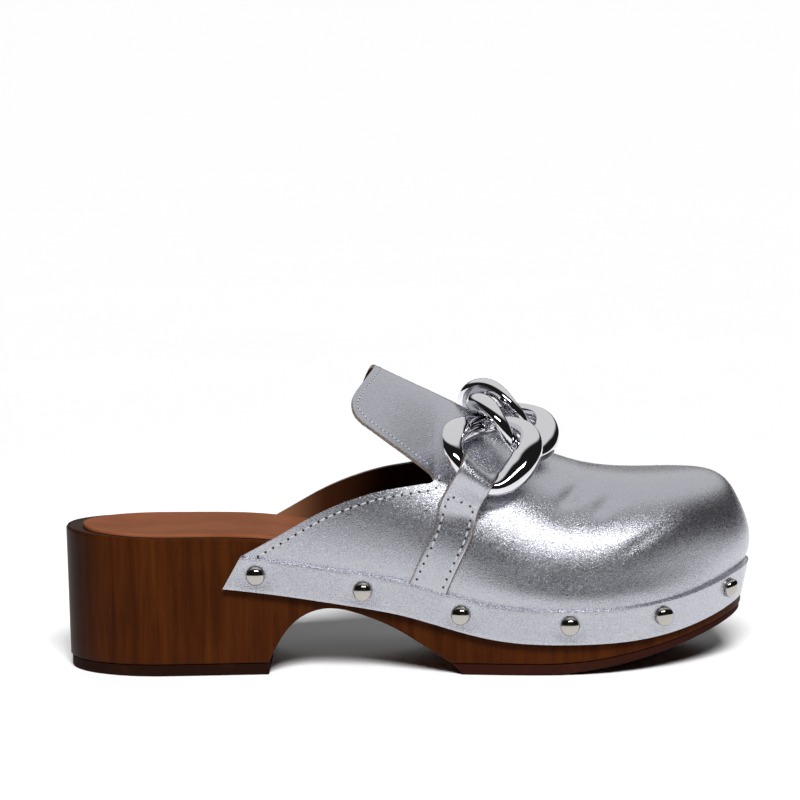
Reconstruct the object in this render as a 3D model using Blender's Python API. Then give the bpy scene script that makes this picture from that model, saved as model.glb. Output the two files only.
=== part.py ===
"""Right-foot clog: carved wooden sole, closed-toe leather upper and a chain over the instep.

Sizes are millimetres until MM turns them into metres at the mesh.
x runs from the heel back to the toe, -y is the lateral side, z is up from the floor.
"""
import math
from collections import namedtuple

import bmesh
import bpy
import numpy as np
from mathutils import Matrix, Vector

MM = 0.001
TINY = 1e-6
GAP = 0.3  # clearance between neighbouring pieces

# Driving sizes
LENGTH = 260.0  # heel back to the front of the rand
MIDDLE_Y = 1.2  # middle of the shoe's width
UPPER_WALL = 1.5
RAND_WALL = 1.5
RAND_WIDTH = 13.0
RAND_FOOT = 60.9  # x of the rand's rear end at its lower edge
RAND_SLANT = 7.0  # how far the rear end leans forward over the rand's width
RAND_SLANT_FADE = 45.0
HEEL_LIFT = 4.6  # rubber under the heel
FOREFOOT_RUBBER = 4.4
TOE_RUBBER = 2.4
INSOLE_THICK = 1.3
HEEL_BREAST = 77.4
FOREFOOT_BREAST = 146.0
BREAST_SLANT = 4.5  # how far the rubber's rear end leans forward to the floor
BREAST_SLANT_FADE = 14.0

# Plan of the wood: round heel and round toe
UPPER_OUT = GAP + UPPER_WALL
RAND_IN = UPPER_OUT + GAP
RAND_OUT = RAND_IN + RAND_WALL
WOOD_LENGTH = LENGTH - RAND_OUT
HEEL_ROUND = 38.0
TOE_ROUND = 62.0
TOE_START = WOOD_LENGTH - TOE_ROUND
HEEL_TAPER = 0.01  # how far the walls lean in for each millimetre down
WALL_TAPER = 0.035  # the same past the heel
TAPER_CHANGE = (40.0, 100.0)  # x between the two
TOE_SLOPE = 2.4  # how far the toe leans in over the rand's width
TOE_FLUSH = 3.2  # how far the wood stands out again below the rand at the toe
LEDGE_GAP = 0.7  # room between the rand and the ledge where it does
LEDGE_DROP = 0.4
EDGE_ROUND = 1.2
FOOTBED_DISH = 1.2
HEEL_DISH = 1.4  # deeper dish within the raised rim of the heel
HEEL_DISH_END = 70.0

# Toe spring
SPRING_START = 176.0
SPRING_RATE = 0.0064
SPRING_POWER = 1.8

# Upper
MARGIN_DEPTH = 12.0  # lasting margin below the feather line, behind the rand
BULGE_TOP = 0.8  # share of the rib's height where the bulge has died out
BULGE_PEAK = 27 / 4  # brings the bulge's curve to 1 at its widest
RIDGE_FRONT = 236.0  # where the ribs of the toe gather
NOTCH_X = 141.0
TONGUE_CROWN = 118.9  # tongue end on the ridge
TONGUE_CORNER = 107.6  # tongue end at its lateral edge
TONGUE_CORNER_MEDIAL = 111.0
TONGUE_ROUND = 7.0  # round of its corners
TONGUE_ROUND_SHARE = 0.25  # share of its half width that the round takes
QUARTER_REAR = 69.0
FLAP_START = 156.0  # x where the round instep begins to flatten into the tongue
FLAP_CROWN = 0.25  # round of the tongue's crown, as a share of its half width
FLAP_SPREAD = 0.2  # how much wider the tongue stands at its end

# Insole
INSOLE_INSET = 4.0
INSOLE_HEEL_INSET = 6.5
INSOLE_EDGE_ROUND = 0.9

# Rand edge and studs
RAND_EDGE_ROUND = 0.5
STUD_PLACES = (73.4, 113.6, 150.3, 190.4, 224.5, 249.6)  # x of the wood's edge behind each, both sides
STUD_RADIUS = 3.65
STUD_HEIGHT = 2.3
STUD_RIM = 0.4
STUD_SIDES = 12
STUD_RAISE = 0.8  # above the middle of the rand, on the front studs
STUD_RAISE_FROM = (140.0, 190.0)

# Chain over the instep, in a frame that leans with the ridge:
# e along the ridge to the toe, y across, u off the vamp
CHAIN_X = 167.0
CHAIN_LEAN = math.radians(28.5)
LINK_HALF_WIDTH = 13.7  # of the link's centreline, along e
LINK_HALF_LENGTH = 16.6
LINK_TWIST = 3.8
LINK_SQUARING = 0.93  # 1 is a plain oval, less is squarer
BAR = (3.3, 2.7)  # half width and half thickness at the ends
LOBE = (5.6, 3.6)  # and at the fat sides
LOBE_SHARPNESS = 3.5
LINK_RINGS = 32
LINK_SIDES = 10

# Keeper straps
STRAP_WIDTH = 13.6
STRAP_THICK = 1.2
STRAP_FOOT_E = -0.3  # middle of the strap where it leaves the rand
STRAP_FOOT_RISE = 0.02
STRAP_BOW = 1.5  # how far the strap bows to the toe, most at two thirds of its run
STRAP_APPROACH = 0.16  # rise left between the fold's start and the bar
STRAP_LIFT = (0.34, 0.46)  # share of the way where the top layer climbs over the folded end
FOLD_END = 0.5
STRAP_COLUMNS = 5
COLUMN_REACH = 2.6  # half of the slice of link that a column goes round
BAR_ANGLES = (12.0, 168.0)  # degrees round the link that its bar takes
SEARCH_RISES = (0.3, 1.4)  # where the vamp is searched for the place nearest to the bar
RUN_POINTS = 10
BEND_POINTS = 12
BEND_SLACK = 0.25
FOLD_POINTS = 5
HALVINGS = 24

# One row for each section of the last, heel to toe
Section = namedtuple("Section", "x half_width centre footbed feather ridge ridge_medial squareness bulge")
SECTIONS = (
    Section(0.0, 30.5, 0.0, 54.2, 51.0, 173.0, 4.5, 2.00, 0.90),
    Section(40.0, 31.0, 0.0, 52.6, 48.6, 152.7, 4.5, 2.00, 0.90),
    Section(70.0, 30.4, -0.6, 51.9, 45.5, 137.4, 4.5, 2.00, 0.90),
    Section(90.0, 30.2, -1.0, 49.6, 42.6, 127.2, 4.5, 2.00, 0.90),
    Section(110.0, 31.2, -1.0, 45.4, 39.4, 117.0, 4.5, 2.00, 0.90),
    Section(130.0, 33.6, -0.6, 40.2, 35.6, 106.9, 4.5, 2.02, 0.90),
    Section(150.0, 37.0, 0.0, 34.8, 29.9, 96.8, 4.5, 2.06, 0.85),
    Section(168.0, 40.2, 0.4, 30.8, 26.3, 86.2, 4.4, 2.12, 0.50),
    Section(185.0, 42.3, 0.9, 28.9, 25.3, 77.5, 4.0, 2.10, -0.15),
    Section(200.0, 43.0, 1.6, 28.6, 25.3, 72.7, 3.4, 2.32, -0.30),
    Section(220.0, 43.0, 2.8, 29.8, 26.5, 70.8, 2.6, 2.75, -0.30),
    Section(240.0, 42.6, 4.2, 32.4, 30.6, 70.9, 2.0, 3.10, 0.10),
    Section(256.4, 42.0, 5.2, 35.6, 36.0, 69.6, 2.0, 3.20, 2.30),
)

# One row for each link of the chain: its middle in the chain's frame, then its turns in degrees
LinkPose = namedtuple("LinkPose", "name e y u tilt roll yaw")
LINKS = (
    LinkPose("chain_link_lateral", -3.46, -29.66, -4.64, 40.63, -12.08, -14.17),
    LinkPose("chain_link_middle", 0.99, -7.97, 5.39, 10.8, 2.01, -1.01),
    LinkPose("chain_link_medial", -1.27, 15.83, 4.64, -17.25, 0.0, 0.0),
)

# Lines seen from the side: (x, height)
Point = namedtuple("Point", "x height")
ARCH = (
    Point(77.4, 4.6), Point(79.0, 8.0), Point(82.0, 13.4), Point(86.0, 18.6), Point(93.0, 23.5),
    Point(102.0, 25.1), Point(112.0, 22.9), Point(127.0, 16.4), Point(138.0, 9.4), Point(146.0, 4.4),
)
TOPLINE = (
    Point(69.0, 46.2), Point(83.0, 53.7), Point(98.0, 61.8), Point(110.0, 66.5),
    Point(122.0, 69.6), Point(134.0, 71.6), Point(141.0, 73.4),
)
TONGUE_EDGE = (
    Point(108.0, 99.4), Point(113.0, 96.1), Point(121.0, 90.5), Point(128.0, 85.2),
    Point(136.0, 78.4), Point(141.0, 73.4),
)


def smooth_curve(xs, ys):
    """Natural cubic through the given points."""
    xs = np.array(xs)
    ys = np.array(ys)
    step = np.diff(xs)
    system = np.eye(len(xs))
    right = np.zeros(len(xs))
    for i in range(1, len(xs) - 1):
        system[i, i - 1:i + 2] = step[i - 1], 2 * (step[i - 1] + step[i]), step[i]
        right[i] = 6 * ((ys[i + 1] - ys[i]) / step[i] - (ys[i] - ys[i - 1]) / step[i - 1])
    bend = np.linalg.solve(system, right)

    def at(x):
        i = int(np.clip(np.searchsorted(xs, x) - 1, 0, len(step) - 1))
        after = xs[i + 1] - x
        before = x - xs[i]
        curve = (bend[i] * after ** 3 + bend[i + 1] * before ** 3) / (6 * step[i])
        start = (ys[i] / step[i] - bend[i] * step[i] / 6) * after
        end = (ys[i + 1] / step[i] - bend[i + 1] * step[i] / 6) * before
        return float(curve + start + end)

    return at


def section_column(name):
    return smooth_curve([row.x for row in SECTIONS], [getattr(row, name) for row in SECTIONS])


def side_line(points):
    return smooth_curve([point.x for point in points], [point.height for point in points])


def smooth_step(low, high, value):
    share = np.clip((value - low) / (high - low), 0, 1)
    return share * share * (3 - 2 * share)


half_width = section_column("half_width")
centre = section_column("centre")
footbed = section_column("footbed")
feather = section_column("feather")
ridge = section_column("ridge")
ridge_medial = section_column("ridge_medial")
squareness = section_column("squareness")
bulge = section_column("bulge")
arch = side_line(ARCH)
topline = side_line(TOPLINE)
tongue_edge = side_line(TONGUE_EDGE)


# Plan outline. A turn of 0 is the heel back, pi the toe tip and 2 pi the heel back again.

def turn_at(x):
    """Turn of the lateral side at x."""
    return math.acos(1 - 2 * x / WOOD_LENGTH)


def x_at(turn):
    return WOOD_LENGTH * (1 - math.cos(turn)) / 2


def end_rounding(x):
    """Share of the half width that the round heel and the round toe leave."""
    past = max(0.0, (HEEL_ROUND - x) / HEEL_ROUND, (x - TOE_START) / TOE_ROUND)
    return math.sqrt(max(0.0, 1 - past ** 2))


def wood_edge(turn):
    x = x_at(turn)
    side = math.copysign(1.0, math.sin(turn))
    return np.array((x, centre(x) - side * half_width(x) * end_rounding(x)))


def outward(turn):
    """Unit plan normal of the wood's edge."""
    step = 0.004
    along = wood_edge(turn + step) - wood_edge(turn - step)
    normal = np.array((along[1], -along[0]))
    return normal / np.linalg.norm(normal)


def edge(turn, out):
    return wood_edge(turn) + outward(turn) * out


def at_height(plan, z):
    return (plan[0], plan[1], z)


# Heights of the sole

def spring(x):
    return SPRING_RATE * max(0.0, x - SPRING_START) ** SPRING_POWER


def toe_share(x):
    """0 up to the toe spring, 1 at the toe tip."""
    return np.clip((x - SPRING_START) / (WOOD_LENGTH - SPRING_START), 0, 1)


def rubber_thickness(x):
    return FOREFOOT_RUBBER + (TOE_RUBBER - FOREFOOT_RUBBER) * toe_share(x)


def wood_underside(x):
    if x <= HEEL_BREAST:
        return HEEL_LIFT
    if x >= FOREFOOT_BREAST:
        return spring(x) + rubber_thickness(x)
    return arch(x)


def wall_inset(x, z):
    """How far the wall has leaned in at height z."""
    taper = HEEL_TAPER + (WALL_TAPER - HEEL_TAPER) * smooth_step(*TAPER_CHANGE, x)
    below_feather = np.clip((feather(x) - z) / RAND_WIDTH, 0, 1)
    return taper * (footbed(x) - z) + TOE_SLOPE * toe_share(x) ** 2 * below_feather


def flush(x):
    """How far the wood below the rand stands out."""
    return TOE_FLUSH * toe_share(x) ** 2


def footbed_height(plan):
    """Height of the dished footbed under a plan point."""
    x = plan[0]
    across = (plan[1] - centre(x)) / half_width(x)
    dish = FOOTBED_DISH + HEEL_DISH * max(0.0, 1 - x / HEEL_DISH_END)
    return footbed(x) - dish * max(0.0, end_rounding(x) ** 2 - across ** 2)


# Meshes

def finish_mesh(name, mesh_data, colour, roughness, metallic):
    bmesh.ops.recalc_face_normals(mesh_data, faces=mesh_data.faces)
    mesh = bpy.data.meshes.new(name)
    mesh_data.to_mesh(mesh)
    mesh_data.free()
    mesh.shade_smooth()
    mesh.set_sharp_from_angle(angle=math.radians(40))
    material = bpy.data.materials.new(name)
    material.use_nodes = True
    shader = material.node_tree.nodes["Principled BSDF"]
    shader.inputs["Base Color"].default_value = (*colour, 1.0)
    shader.inputs["Roughness"].default_value = roughness
    shader.inputs["Metallic"].default_value = metallic
    mesh.materials.append(material)
    piece = bpy.data.objects.new(name, mesh)
    bpy.context.scene.collection.objects.link(piece)
    piece.parent = shoe
    return piece


def add_ring(mesh_data, points):
    return [mesh_data.verts.new([value * MM for value in point]) for point in points]


def loft(rings, closed=False):
    """Skin over rings of points; an open run of rings gets a flat cap at each end."""
    mesh_data = bmesh.new()
    loops = [add_ring(mesh_data, ring) for ring in rings]
    pairs = list(zip(loops, loops[1:]))
    if closed:
        pairs.append((loops[-1], loops[0]))
    for one, two in pairs:
        for i in range(len(one)):
            j = (i + 1) % len(one)
            mesh_data.faces.new((one[i], one[j], two[j], two[i]))
    if not closed:
        mesh_data.faces.new(loops[0])
        mesh_data.faces.new(loops[-1])
    return mesh_data


def spaced(start, end, count):
    return list(np.linspace(start, end, count))


END_TURN = 0.04  # the flat left at the very back and the very front


def heel_turns():
    return spaced(END_TURN, turn_at(HEEL_ROUND), 8)


def toe_turns(front=math.pi - END_TURN):
    return spaced(turn_at(TOE_START), front, 11)


def across_places(count):
    """Places between the two edges, lateral to medial, edges left out."""
    return spaced(-1, 1, count + 2)[1:-1]


# Wooden sole: rings run down the lateral wall, under, up the medial wall and back over the footbed

def wood_wall(turn):
    x = x_at(turn)
    top = footbed(x)
    under = wood_underside(x)
    ledge = feather(x) - RAND_WIDTH - LEDGE_GAP
    quarter_round = EDGE_ROUND * (1 - math.sqrt(0.5))
    rows = (
        (EDGE_ROUND, top),
        (quarter_round, top - quarter_round),
        (0.0, top - EDGE_ROUND),
        (0.0, ledge),
        (-flush(x), ledge - LEDGE_DROP),
        (-flush(x), under + EDGE_ROUND / 2),
        (EDGE_ROUND / 2 - flush(x), under),
    )
    return [at_height(edge(turn, -inset - wall_inset(x, z)), z) for inset, z in rows]


def wood_ring(turn):
    lateral = wood_wall(turn)
    medial = wood_wall(2 * math.pi - turn)
    ring = list(lateral)
    for place in across_places(2):
        mix = (place + 1) / 2
        ring.append(tuple(np.array(lateral[-1]) * (1 - mix) + np.array(medial[-1]) * mix))
    ring += medial[::-1]
    for place in across_places(5)[::-1]:
        mix = (place + 1) / 2
        plan = np.array(lateral[0]) * (1 - mix) + np.array(medial[0]) * mix
        ring.append(at_height(plan, footbed_height(plan)))
    return ring


def build_wooden_sole():
    waist = [44, 52, 60, 69, HEEL_BREAST, 78.1, 79, 80.4, 82, 84, 86, 89, 93, 97, 102, 107, 112, 117,
             122, 127, 132.5, 138, 142, FOREFOOT_BREAST, 152, 160, 168, 176, 185]
    turns = heel_turns() + [turn_at(x) for x in waist] + toe_turns()
    rings = [wood_ring(turn) for turn in turns]
    finish_mesh("wooden_sole", loft(rings), (0.14, 0.042, 0.012), 0.42, 0.0)


# Rubber under heel and forefoot

def breast_slant(x):
    """How far the rubber under the forefoot leans forward at its rear end."""
    if x < FOREFOOT_BREAST:
        return 0.0
    return BREAST_SLANT * max(0.0, 1 - (x - FOREFOOT_BREAST) / BREAST_SLANT_FADE)


def rubber_wall(turn, top, under):
    x = x_at(turn)
    inset = wall_inset(x, wood_underside(x)) + EDGE_ROUND / 2 - flush(x)
    rows = ((0.0, top), (0.0, under + EDGE_ROUND / 2), (EDGE_ROUND / 2, under))
    wall = []
    for more, z in rows:
        place = turn_at(x + breast_slant(x) * (top - z) / (top - under))
        wall.append(at_height(edge(place if turn < math.pi else 2 * math.pi - place, -inset - more), z))
    return wall


def rubber_ring(turn, top, under):
    return rubber_wall(turn, top, under) + rubber_wall(2 * math.pi - turn, top, under)[::-1]


def build_heel_top_piece():
    turns = heel_turns() + [turn_at(x) for x in (52, 64, HEEL_BREAST)]
    rings = [rubber_ring(turn, HEEL_LIFT - GAP, 0.0) for turn in turns]
    finish_mesh("heel_top_piece", loft(rings), (0.012, 0.007, 0.005), 0.6, 0.0)


def build_forefoot_outsole():
    turns = [turn_at(x) for x in (FOREFOOT_BREAST, 161, SPRING_START, 182, 188)] + toe_turns()
    rings = []
    for turn in turns:
        x = x_at(turn)
        under = spring(x)
        rings.append(rubber_ring(turn, under + rubber_thickness(x) - GAP, under))
    finish_mesh("forefoot_outsole", loft(rings), (0.012, 0.007, 0.005), 0.6, 0.0)


# Insole: a leather sock that lies on the dished footbed

def insole_inset(x):
    heel = np.clip(1 - x / HEEL_ROUND, 0, 1)
    return INSOLE_INSET + (INSOLE_HEEL_INSET - INSOLE_INSET) * heel ** 2


def insole_ring(turn):
    x = x_at(turn)
    inset = insole_inset(x)
    near = edge(turn, -inset)
    far = edge(2 * math.pi - turn, -inset)

    def point(mix, lift):
        plan = near * (1 - mix) + far * mix
        return at_height(plan, footbed_height(plan) + GAP + lift)

    span = np.linalg.norm(far - near)
    soft = min(0.2, INSOLE_EDGE_ROUND / span)
    places = [(place + 1) / 2 for place in across_places(3)]
    low = [point(mix, 0.0) for mix in places]
    high = [point(mix, INSOLE_THICK) for mix in places[::-1]]
    lateral = [point(soft, INSOLE_THICK), point(0.0, INSOLE_THICK - INSOLE_EDGE_ROUND), point(0.0, 0.0)]
    medial = [point(1.0, 0.0), point(1.0, INSOLE_THICK - INSOLE_EDGE_ROUND), point(1 - soft, INSOLE_THICK)]
    return lateral + low + medial + high


def build_insole():
    middle = [50, 62, 75, 88, 102, 116, 130, 144, 158, 172, 185]
    turns = heel_turns() + [turn_at(x) for x in middle] + toe_turns()
    rings = [insole_ring(turn) for turn in turns]
    finish_mesh("insole", loft(rings), (0.36, 0.13, 0.055), 0.55, 0.0)


# Upper: ribs rise from the feather line to the ridge; rise is 0 at the feather line, pi / 2 at the ridge

def flap_height(x):
    """Share of the rib's height where the tongue begins."""
    place = min(x, NOTCH_X)
    return (tongue_edge(place) - feather(place)) / (ridge(place) - feather(place))


def flap_inward(x, height, power):
    """Half width of the tongue at a height: a rounded crown between two nearly straight slopes."""
    low = flap_height(x)
    left = 1 - (height - low) / (1 - low)
    slope = math.sqrt(1 + FLAP_CROWN ** 2) - FLAP_CROWN
    share = math.sqrt(max(0.0, (FLAP_CROWN + left * slope) ** 2 - FLAP_CROWN ** 2))
    spread = 1 + FLAP_SPREAD * smooth_step(NOTCH_X, TONGUE_CROWN, x)
    return spread * share * (1 - low ** (2 / power)) ** (power / 2)


def upper_point(turn, rise):
    x = x_at(turn)
    gather = (RIDGE_FRONT - TOE_START) / TOE_ROUND
    ridge_x = x if x < TOE_START else TOE_START + (x - TOE_START) * gather
    power = 2 / squareness(x)
    inward = math.cos(rise) ** power
    height = math.sin(rise) ** power
    if x < FLAP_START and height > flap_height(x) - TINY:
        inward += smooth_step(FLAP_START, NOTCH_X, x) * (flap_inward(x, height, power) - inward)
    foot = edge(turn, UPPER_OUT - wall_inset(x, feather(x)))
    top = np.array((ridge_x, centre(ridge_x) + ridge_medial(ridge_x)))
    up = min(1.0, height / BULGE_TOP)
    swell = bulge(x) * BULGE_PEAK * up * (1 - up) ** 2
    plan = top + (foot - top) * inward + outward(turn) * swell
    return at_height(plan, feather(x) + (ridge(plan[0]) - feather(x)) * height)


def margin_point(turn, depth):
    """Lasting margin, a depth below the feather line."""
    x = x_at(turn)
    z = feather(x) - depth
    return at_height(edge(turn, UPPER_OUT - wall_inset(x, z)), z)


def rise_at(x, z):
    """Rise of the rib at x where it passes height z."""
    share = (z - feather(x)) / (ridge(x) - feather(x))
    return math.asin(np.clip(share, 0, 1) ** (squareness(x) / 2))


NOTCH_RISE = rise_at(NOTCH_X, topline(NOTCH_X))
MARGIN_ROWS = 3
QUARTER_ROWS = 6
TONGUE_ROWS = 8


def rand_shift(x, depth):
    """Forward shift of the slanted rear end, fading along the rand."""
    fade = np.clip(1 - (x - RAND_FOOT) / RAND_SLANT_FADE, 0, 1)
    return RAND_SLANT * fade * (1 - depth / RAND_WIDTH)


def quarter_column(turn, side):
    """Points from the bottom of the margin to the topline or the notch level."""
    x = x_at(turn)
    top = rise_at(x, topline(x)) if x < NOTCH_X else NOTCH_RISE
    points = []
    for depth in spaced(MARGIN_DEPTH, 0, MARGIN_ROWS)[:-1]:
        lean = rand_shift(x - RAND_SLANT, 0.0) - rand_shift(x - RAND_SLANT, depth)
        points.append(margin_point(side(turn_at(x - lean) if x < NOTCH_X else turn), depth))
    for rise in spaced(0, top, QUARTER_ROWS):
        points.append(upper_point(side(turn), rise))
    return points


def tongue_column(along, side, corner):
    """Points from the tongue's side edge to the ridge; along is 0 at the notch, 1 at the tongue end."""
    points = []
    for share in spaced(0, 1, TONGUE_ROWS):
        end = corner + (TONGUE_CROWN - corner) * math.sin(share * math.pi / 2)
        left = max(0.0, 1 - share / TONGUE_ROUND_SHARE)
        end += TONGUE_ROUND * (1 - math.sqrt(1 - left ** 2))
        x = NOTCH_X + (end - NOTCH_X) * along
        low = rise_at(x, tongue_edge(x))
        points.append(upper_point(side(turn_at(x)), low + (math.pi / 2 - low) * share))
    return points


def vamp_column(turn, side):
    rises = spaced(NOTCH_RISE, math.pi / 2, TONGUE_ROWS)
    return [upper_point(side(turn), rise) for rise in rises]


def add_grid(mesh_data, columns):
    loops = [add_ring(mesh_data, column) for column in columns]
    for one, two in zip(loops, loops[1:]):
        for i in range(len(one) - 1):
            mesh_data.faces.new((one[i], two[i], two[i + 1], one[i + 1]))


def build_upper():
    rear = [turn_at(x) for x in (QUARTER_REAR, 73, 78, 84, 91, 98, 105, 112, 119, 126, 132, 137)]
    notch = turn_at(NOTCH_X)
    front = [turn_at(x) for x in (147, 154, 161, 168, 176, 185)] + toe_turns(math.pi)
    mesh_data = bmesh.new()
    sides = ((lambda turn: turn, TONGUE_CORNER), (lambda turn: 2 * math.pi - turn, TONGUE_CORNER_MEDIAL))
    for side, corner in sides:
        add_grid(mesh_data, [quarter_column(turn, side) for turn in rear + [notch] + front])
        add_grid(mesh_data, [tongue_column(along, side, corner) for along in spaced(1, 0, 7)])
        add_grid(mesh_data, [vamp_column(turn, side) for turn in [notch] + front])
    bmesh.ops.remove_doubles(mesh_data, verts=mesh_data.verts, dist=0.02 * MM)
    upper = finish_mesh("upper", mesh_data, (0.62, 0.62, 0.66), 0.3, 1.0)
    wall = upper.modifiers.new("wall", "SOLIDIFY")
    wall.thickness = UPPER_WALL * MM
    wall.offset = -1.0
    wall.use_even_offset = True


# Rand: a band nailed round the feather line, its rear ends cut aslant

def rand_ring(turn):
    x = x_at(turn)
    rows = (
        (RAND_IN, RAND_WIDTH),
        (RAND_OUT - RAND_EDGE_ROUND, RAND_WIDTH),
        (RAND_OUT, RAND_WIDTH - RAND_EDGE_ROUND),
        (RAND_OUT, RAND_EDGE_ROUND),
        (RAND_OUT - RAND_EDGE_ROUND, 0.0),
        (RAND_IN, 0.0),
    )
    ring = []
    for out, depth in rows:
        place = x + rand_shift(x, depth)
        there = turn
        if place > x:
            there = turn_at(place) if turn < math.pi else 2 * math.pi - turn_at(place)
        z = feather(place) - depth
        ring.append(at_height(edge(there, out - wall_inset(place, z)), z))
    return ring


def build_rand():
    side = [turn_at(x) for x in (RAND_FOOT, 66, 72, 80, 90, 101, 112, 123, 133, 142, 150, 158, 167, 176, 185)]
    lateral = side + toe_turns(math.pi)
    medial = [2 * math.pi - turn for turn in lateral[-2::-1]]
    rings = [rand_ring(turn) for turn in lateral + medial]
    finish_mesh("rand", loft(rings), (0.62, 0.62, 0.66), 0.3, 1.0)


# Studs: domed nails along the middle of the rand

def stud_ring(angle_up):
    """Ring of the dome, by its angle above the rim."""
    radius = STUD_RADIUS * math.cos(angle_up)
    z = STUD_RIM + (STUD_HEIGHT - STUD_RIM) * math.sin(angle_up)
    steps = [2 * math.pi * i / STUD_SIDES for i in range(STUD_SIDES)]
    return [(radius * math.cos(a), radius * math.sin(a), z) for a in steps]


def build_studs():
    foot = [(x, y, 0.0) for x, y, z in stud_ring(0.0)]
    dome = [stud_ring(math.radians(up)) for up in (0, 32, 64)]
    first = finish_mesh("stud_01", loft([foot] + dome), (0.78, 0.77, 0.75), 0.16, 1.0)
    lateral = [turn_at(x) for x in STUD_PLACES]
    turns = lateral + [2 * math.pi - turn for turn in lateral[::-1]]
    for number, turn in enumerate(turns, 1):
        stud = first
        if number > 1:
            stud = bpy.data.objects.new(f"stud_{number:02d}", first.data)
            bpy.context.scene.collection.objects.link(stud)
            stud.parent = shoe
        x = x_at(turn)
        z = feather(x) - RAND_WIDTH / 2 + STUD_RAISE * smooth_step(*STUD_RAISE_FROM, x)
        plan = edge(turn, RAND_OUT + GAP - wall_inset(x, z))
        stud.location = Vector(at_height(plan, z)) * MM
        lean = wall_inset(x, z - 1) - wall_inset(x, z)
        facing = Vector((*outward(turn), -lean))
        stud.rotation_mode = "QUATERNION"
        stud.rotation_quaternion = facing.to_track_quat("Z", "Y")


# Chain: one twisted link shape, placed three times

CHAIN_E = np.array((math.cos(CHAIN_LEAN), 0.0, -math.sin(CHAIN_LEAN)))
CHAIN_Y = np.array((0.0, 1.0, 0.0))
CHAIN_U = np.array((math.sin(CHAIN_LEAN), 0.0, math.cos(CHAIN_LEAN)))
CHAIN_ORIGIN = np.array((CHAIN_X, centre(CHAIN_X), ridge(CHAIN_X)))


def to_chain(point):
    away = np.array(point) - CHAIN_ORIGIN
    return np.array((away @ CHAIN_E, away @ CHAIN_Y, away @ CHAIN_U))


def from_chain(place):
    return CHAIN_ORIGIN + place[0] * CHAIN_E + place[1] * CHAIN_Y + place[2] * CHAIN_U


def squared(value):
    return math.copysign(abs(value) ** LINK_SQUARING, value)


def link_centre(angle):
    return np.array((
        LINK_HALF_WIDTH * squared(math.cos(angle)),
        LINK_HALF_LENGTH * squared(math.sin(angle)),
        LINK_TWIST * math.sin(2 * angle),
    ))


def link_ring(angle):
    step = 0.01
    along = link_centre(angle + step) - link_centre(angle - step)
    along /= np.linalg.norm(along)
    outer = np.cross(along, (0.0, 0.0, 1.0))
    outer /= np.linalg.norm(outer)
    face = np.cross(outer, along)
    fat = abs(math.cos(angle)) ** LOBE_SHARPNESS
    width = BAR[0] + (LOBE[0] - BAR[0]) * fat
    thick = BAR[1] + (LOBE[1] - BAR[1]) * fat
    turns = [2 * math.pi * i / LINK_SIDES for i in range(LINK_SIDES)]
    return [link_centre(angle) + outer * width * math.cos(a) + face * thick * math.sin(a) for a in turns]


def link_turn(pose):
    """Turn of a link within the chain's frame."""
    tilt = Matrix.Rotation(math.radians(pose.tilt), 3, "X")
    yaw = Matrix.Rotation(math.radians(pose.yaw), 3, "Z")
    roll = Matrix.Rotation(math.radians(pose.roll), 3, "Y")
    return tilt @ yaw @ roll


def build_chain():
    rings = [link_ring(2 * math.pi * i / LINK_RINGS) for i in range(LINK_RINGS)]
    first = finish_mesh(LINKS[0].name, loft(rings, closed=True), (0.8, 0.8, 0.82), 0.08, 1.0)
    for pose in LINKS:
        link = first
        if pose is not LINKS[0]:
            link = bpy.data.objects.new(pose.name, first.data)
            bpy.context.scene.collection.objects.link(link)
            link.parent = shoe
        link.location = Vector(from_chain((pose.e, pose.y, pose.u))) * MM
        link.rotation_mode = "QUATERNION"
        lean = Matrix.Rotation(CHAIN_LEAN, 3, "Y")
        link.rotation_quaternion = (lean @ link_turn(pose)).to_quaternion()


# Keeper straps: from the rand up the vamp, round the end link's bar and back under

Strap = namedtuple("Strap", "name side link top_e bar_side")
STRAPS = (
    Strap("strap_lateral", lambda turn: turn, LINKS[0], -4.3, -1),
    Strap("strap_medial", lambda turn: 2 * math.pi - turn, LINKS[2], -0.1, 1),
)


def halve(low, high, too_far):
    """Value between low and high where too_far turns true."""
    for _ in range(HALVINGS):
        middle = (low + high) / 2
        if too_far(middle):
            high = middle
        else:
            low = middle
    return (low + high) / 2


def vamp_at(side, e, rise):
    """Outer face of the upper at a place e along the chain's frame, as (y, u)."""
    def place(x):
        return to_chain(upper_point(side(turn_at(x)), rise))

    return place(halve(CHAIN_X - 60, CHAIN_X + 40, lambda x: place(x)[0] > e))[1:]


def above(strap, e, rise, lift):
    """Point a lift above the upper, and the upper's normal there, as (y, u)."""
    step = 0.02
    along = vamp_at(strap.side, e, rise + step) - vamp_at(strap.side, e, rise - step)
    normal = np.array((along[1], -along[0])) * strap.bar_side / np.linalg.norm(along)
    return vamp_at(strap.side, e, rise) + normal * lift, normal


def bar_points(strap):
    """Points on the end link's bar, in the chain's frame."""
    turn = np.array(link_turn(strap.link))
    seat = np.array((strap.link.e, strap.link.y, strap.link.u))
    points = []
    for angle in spaced(*np.radians(BAR_ANGLES), 100):
        points += [turn @ point + seat for point in link_ring(strap.bar_side * angle)]
    return np.array(points)


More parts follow.
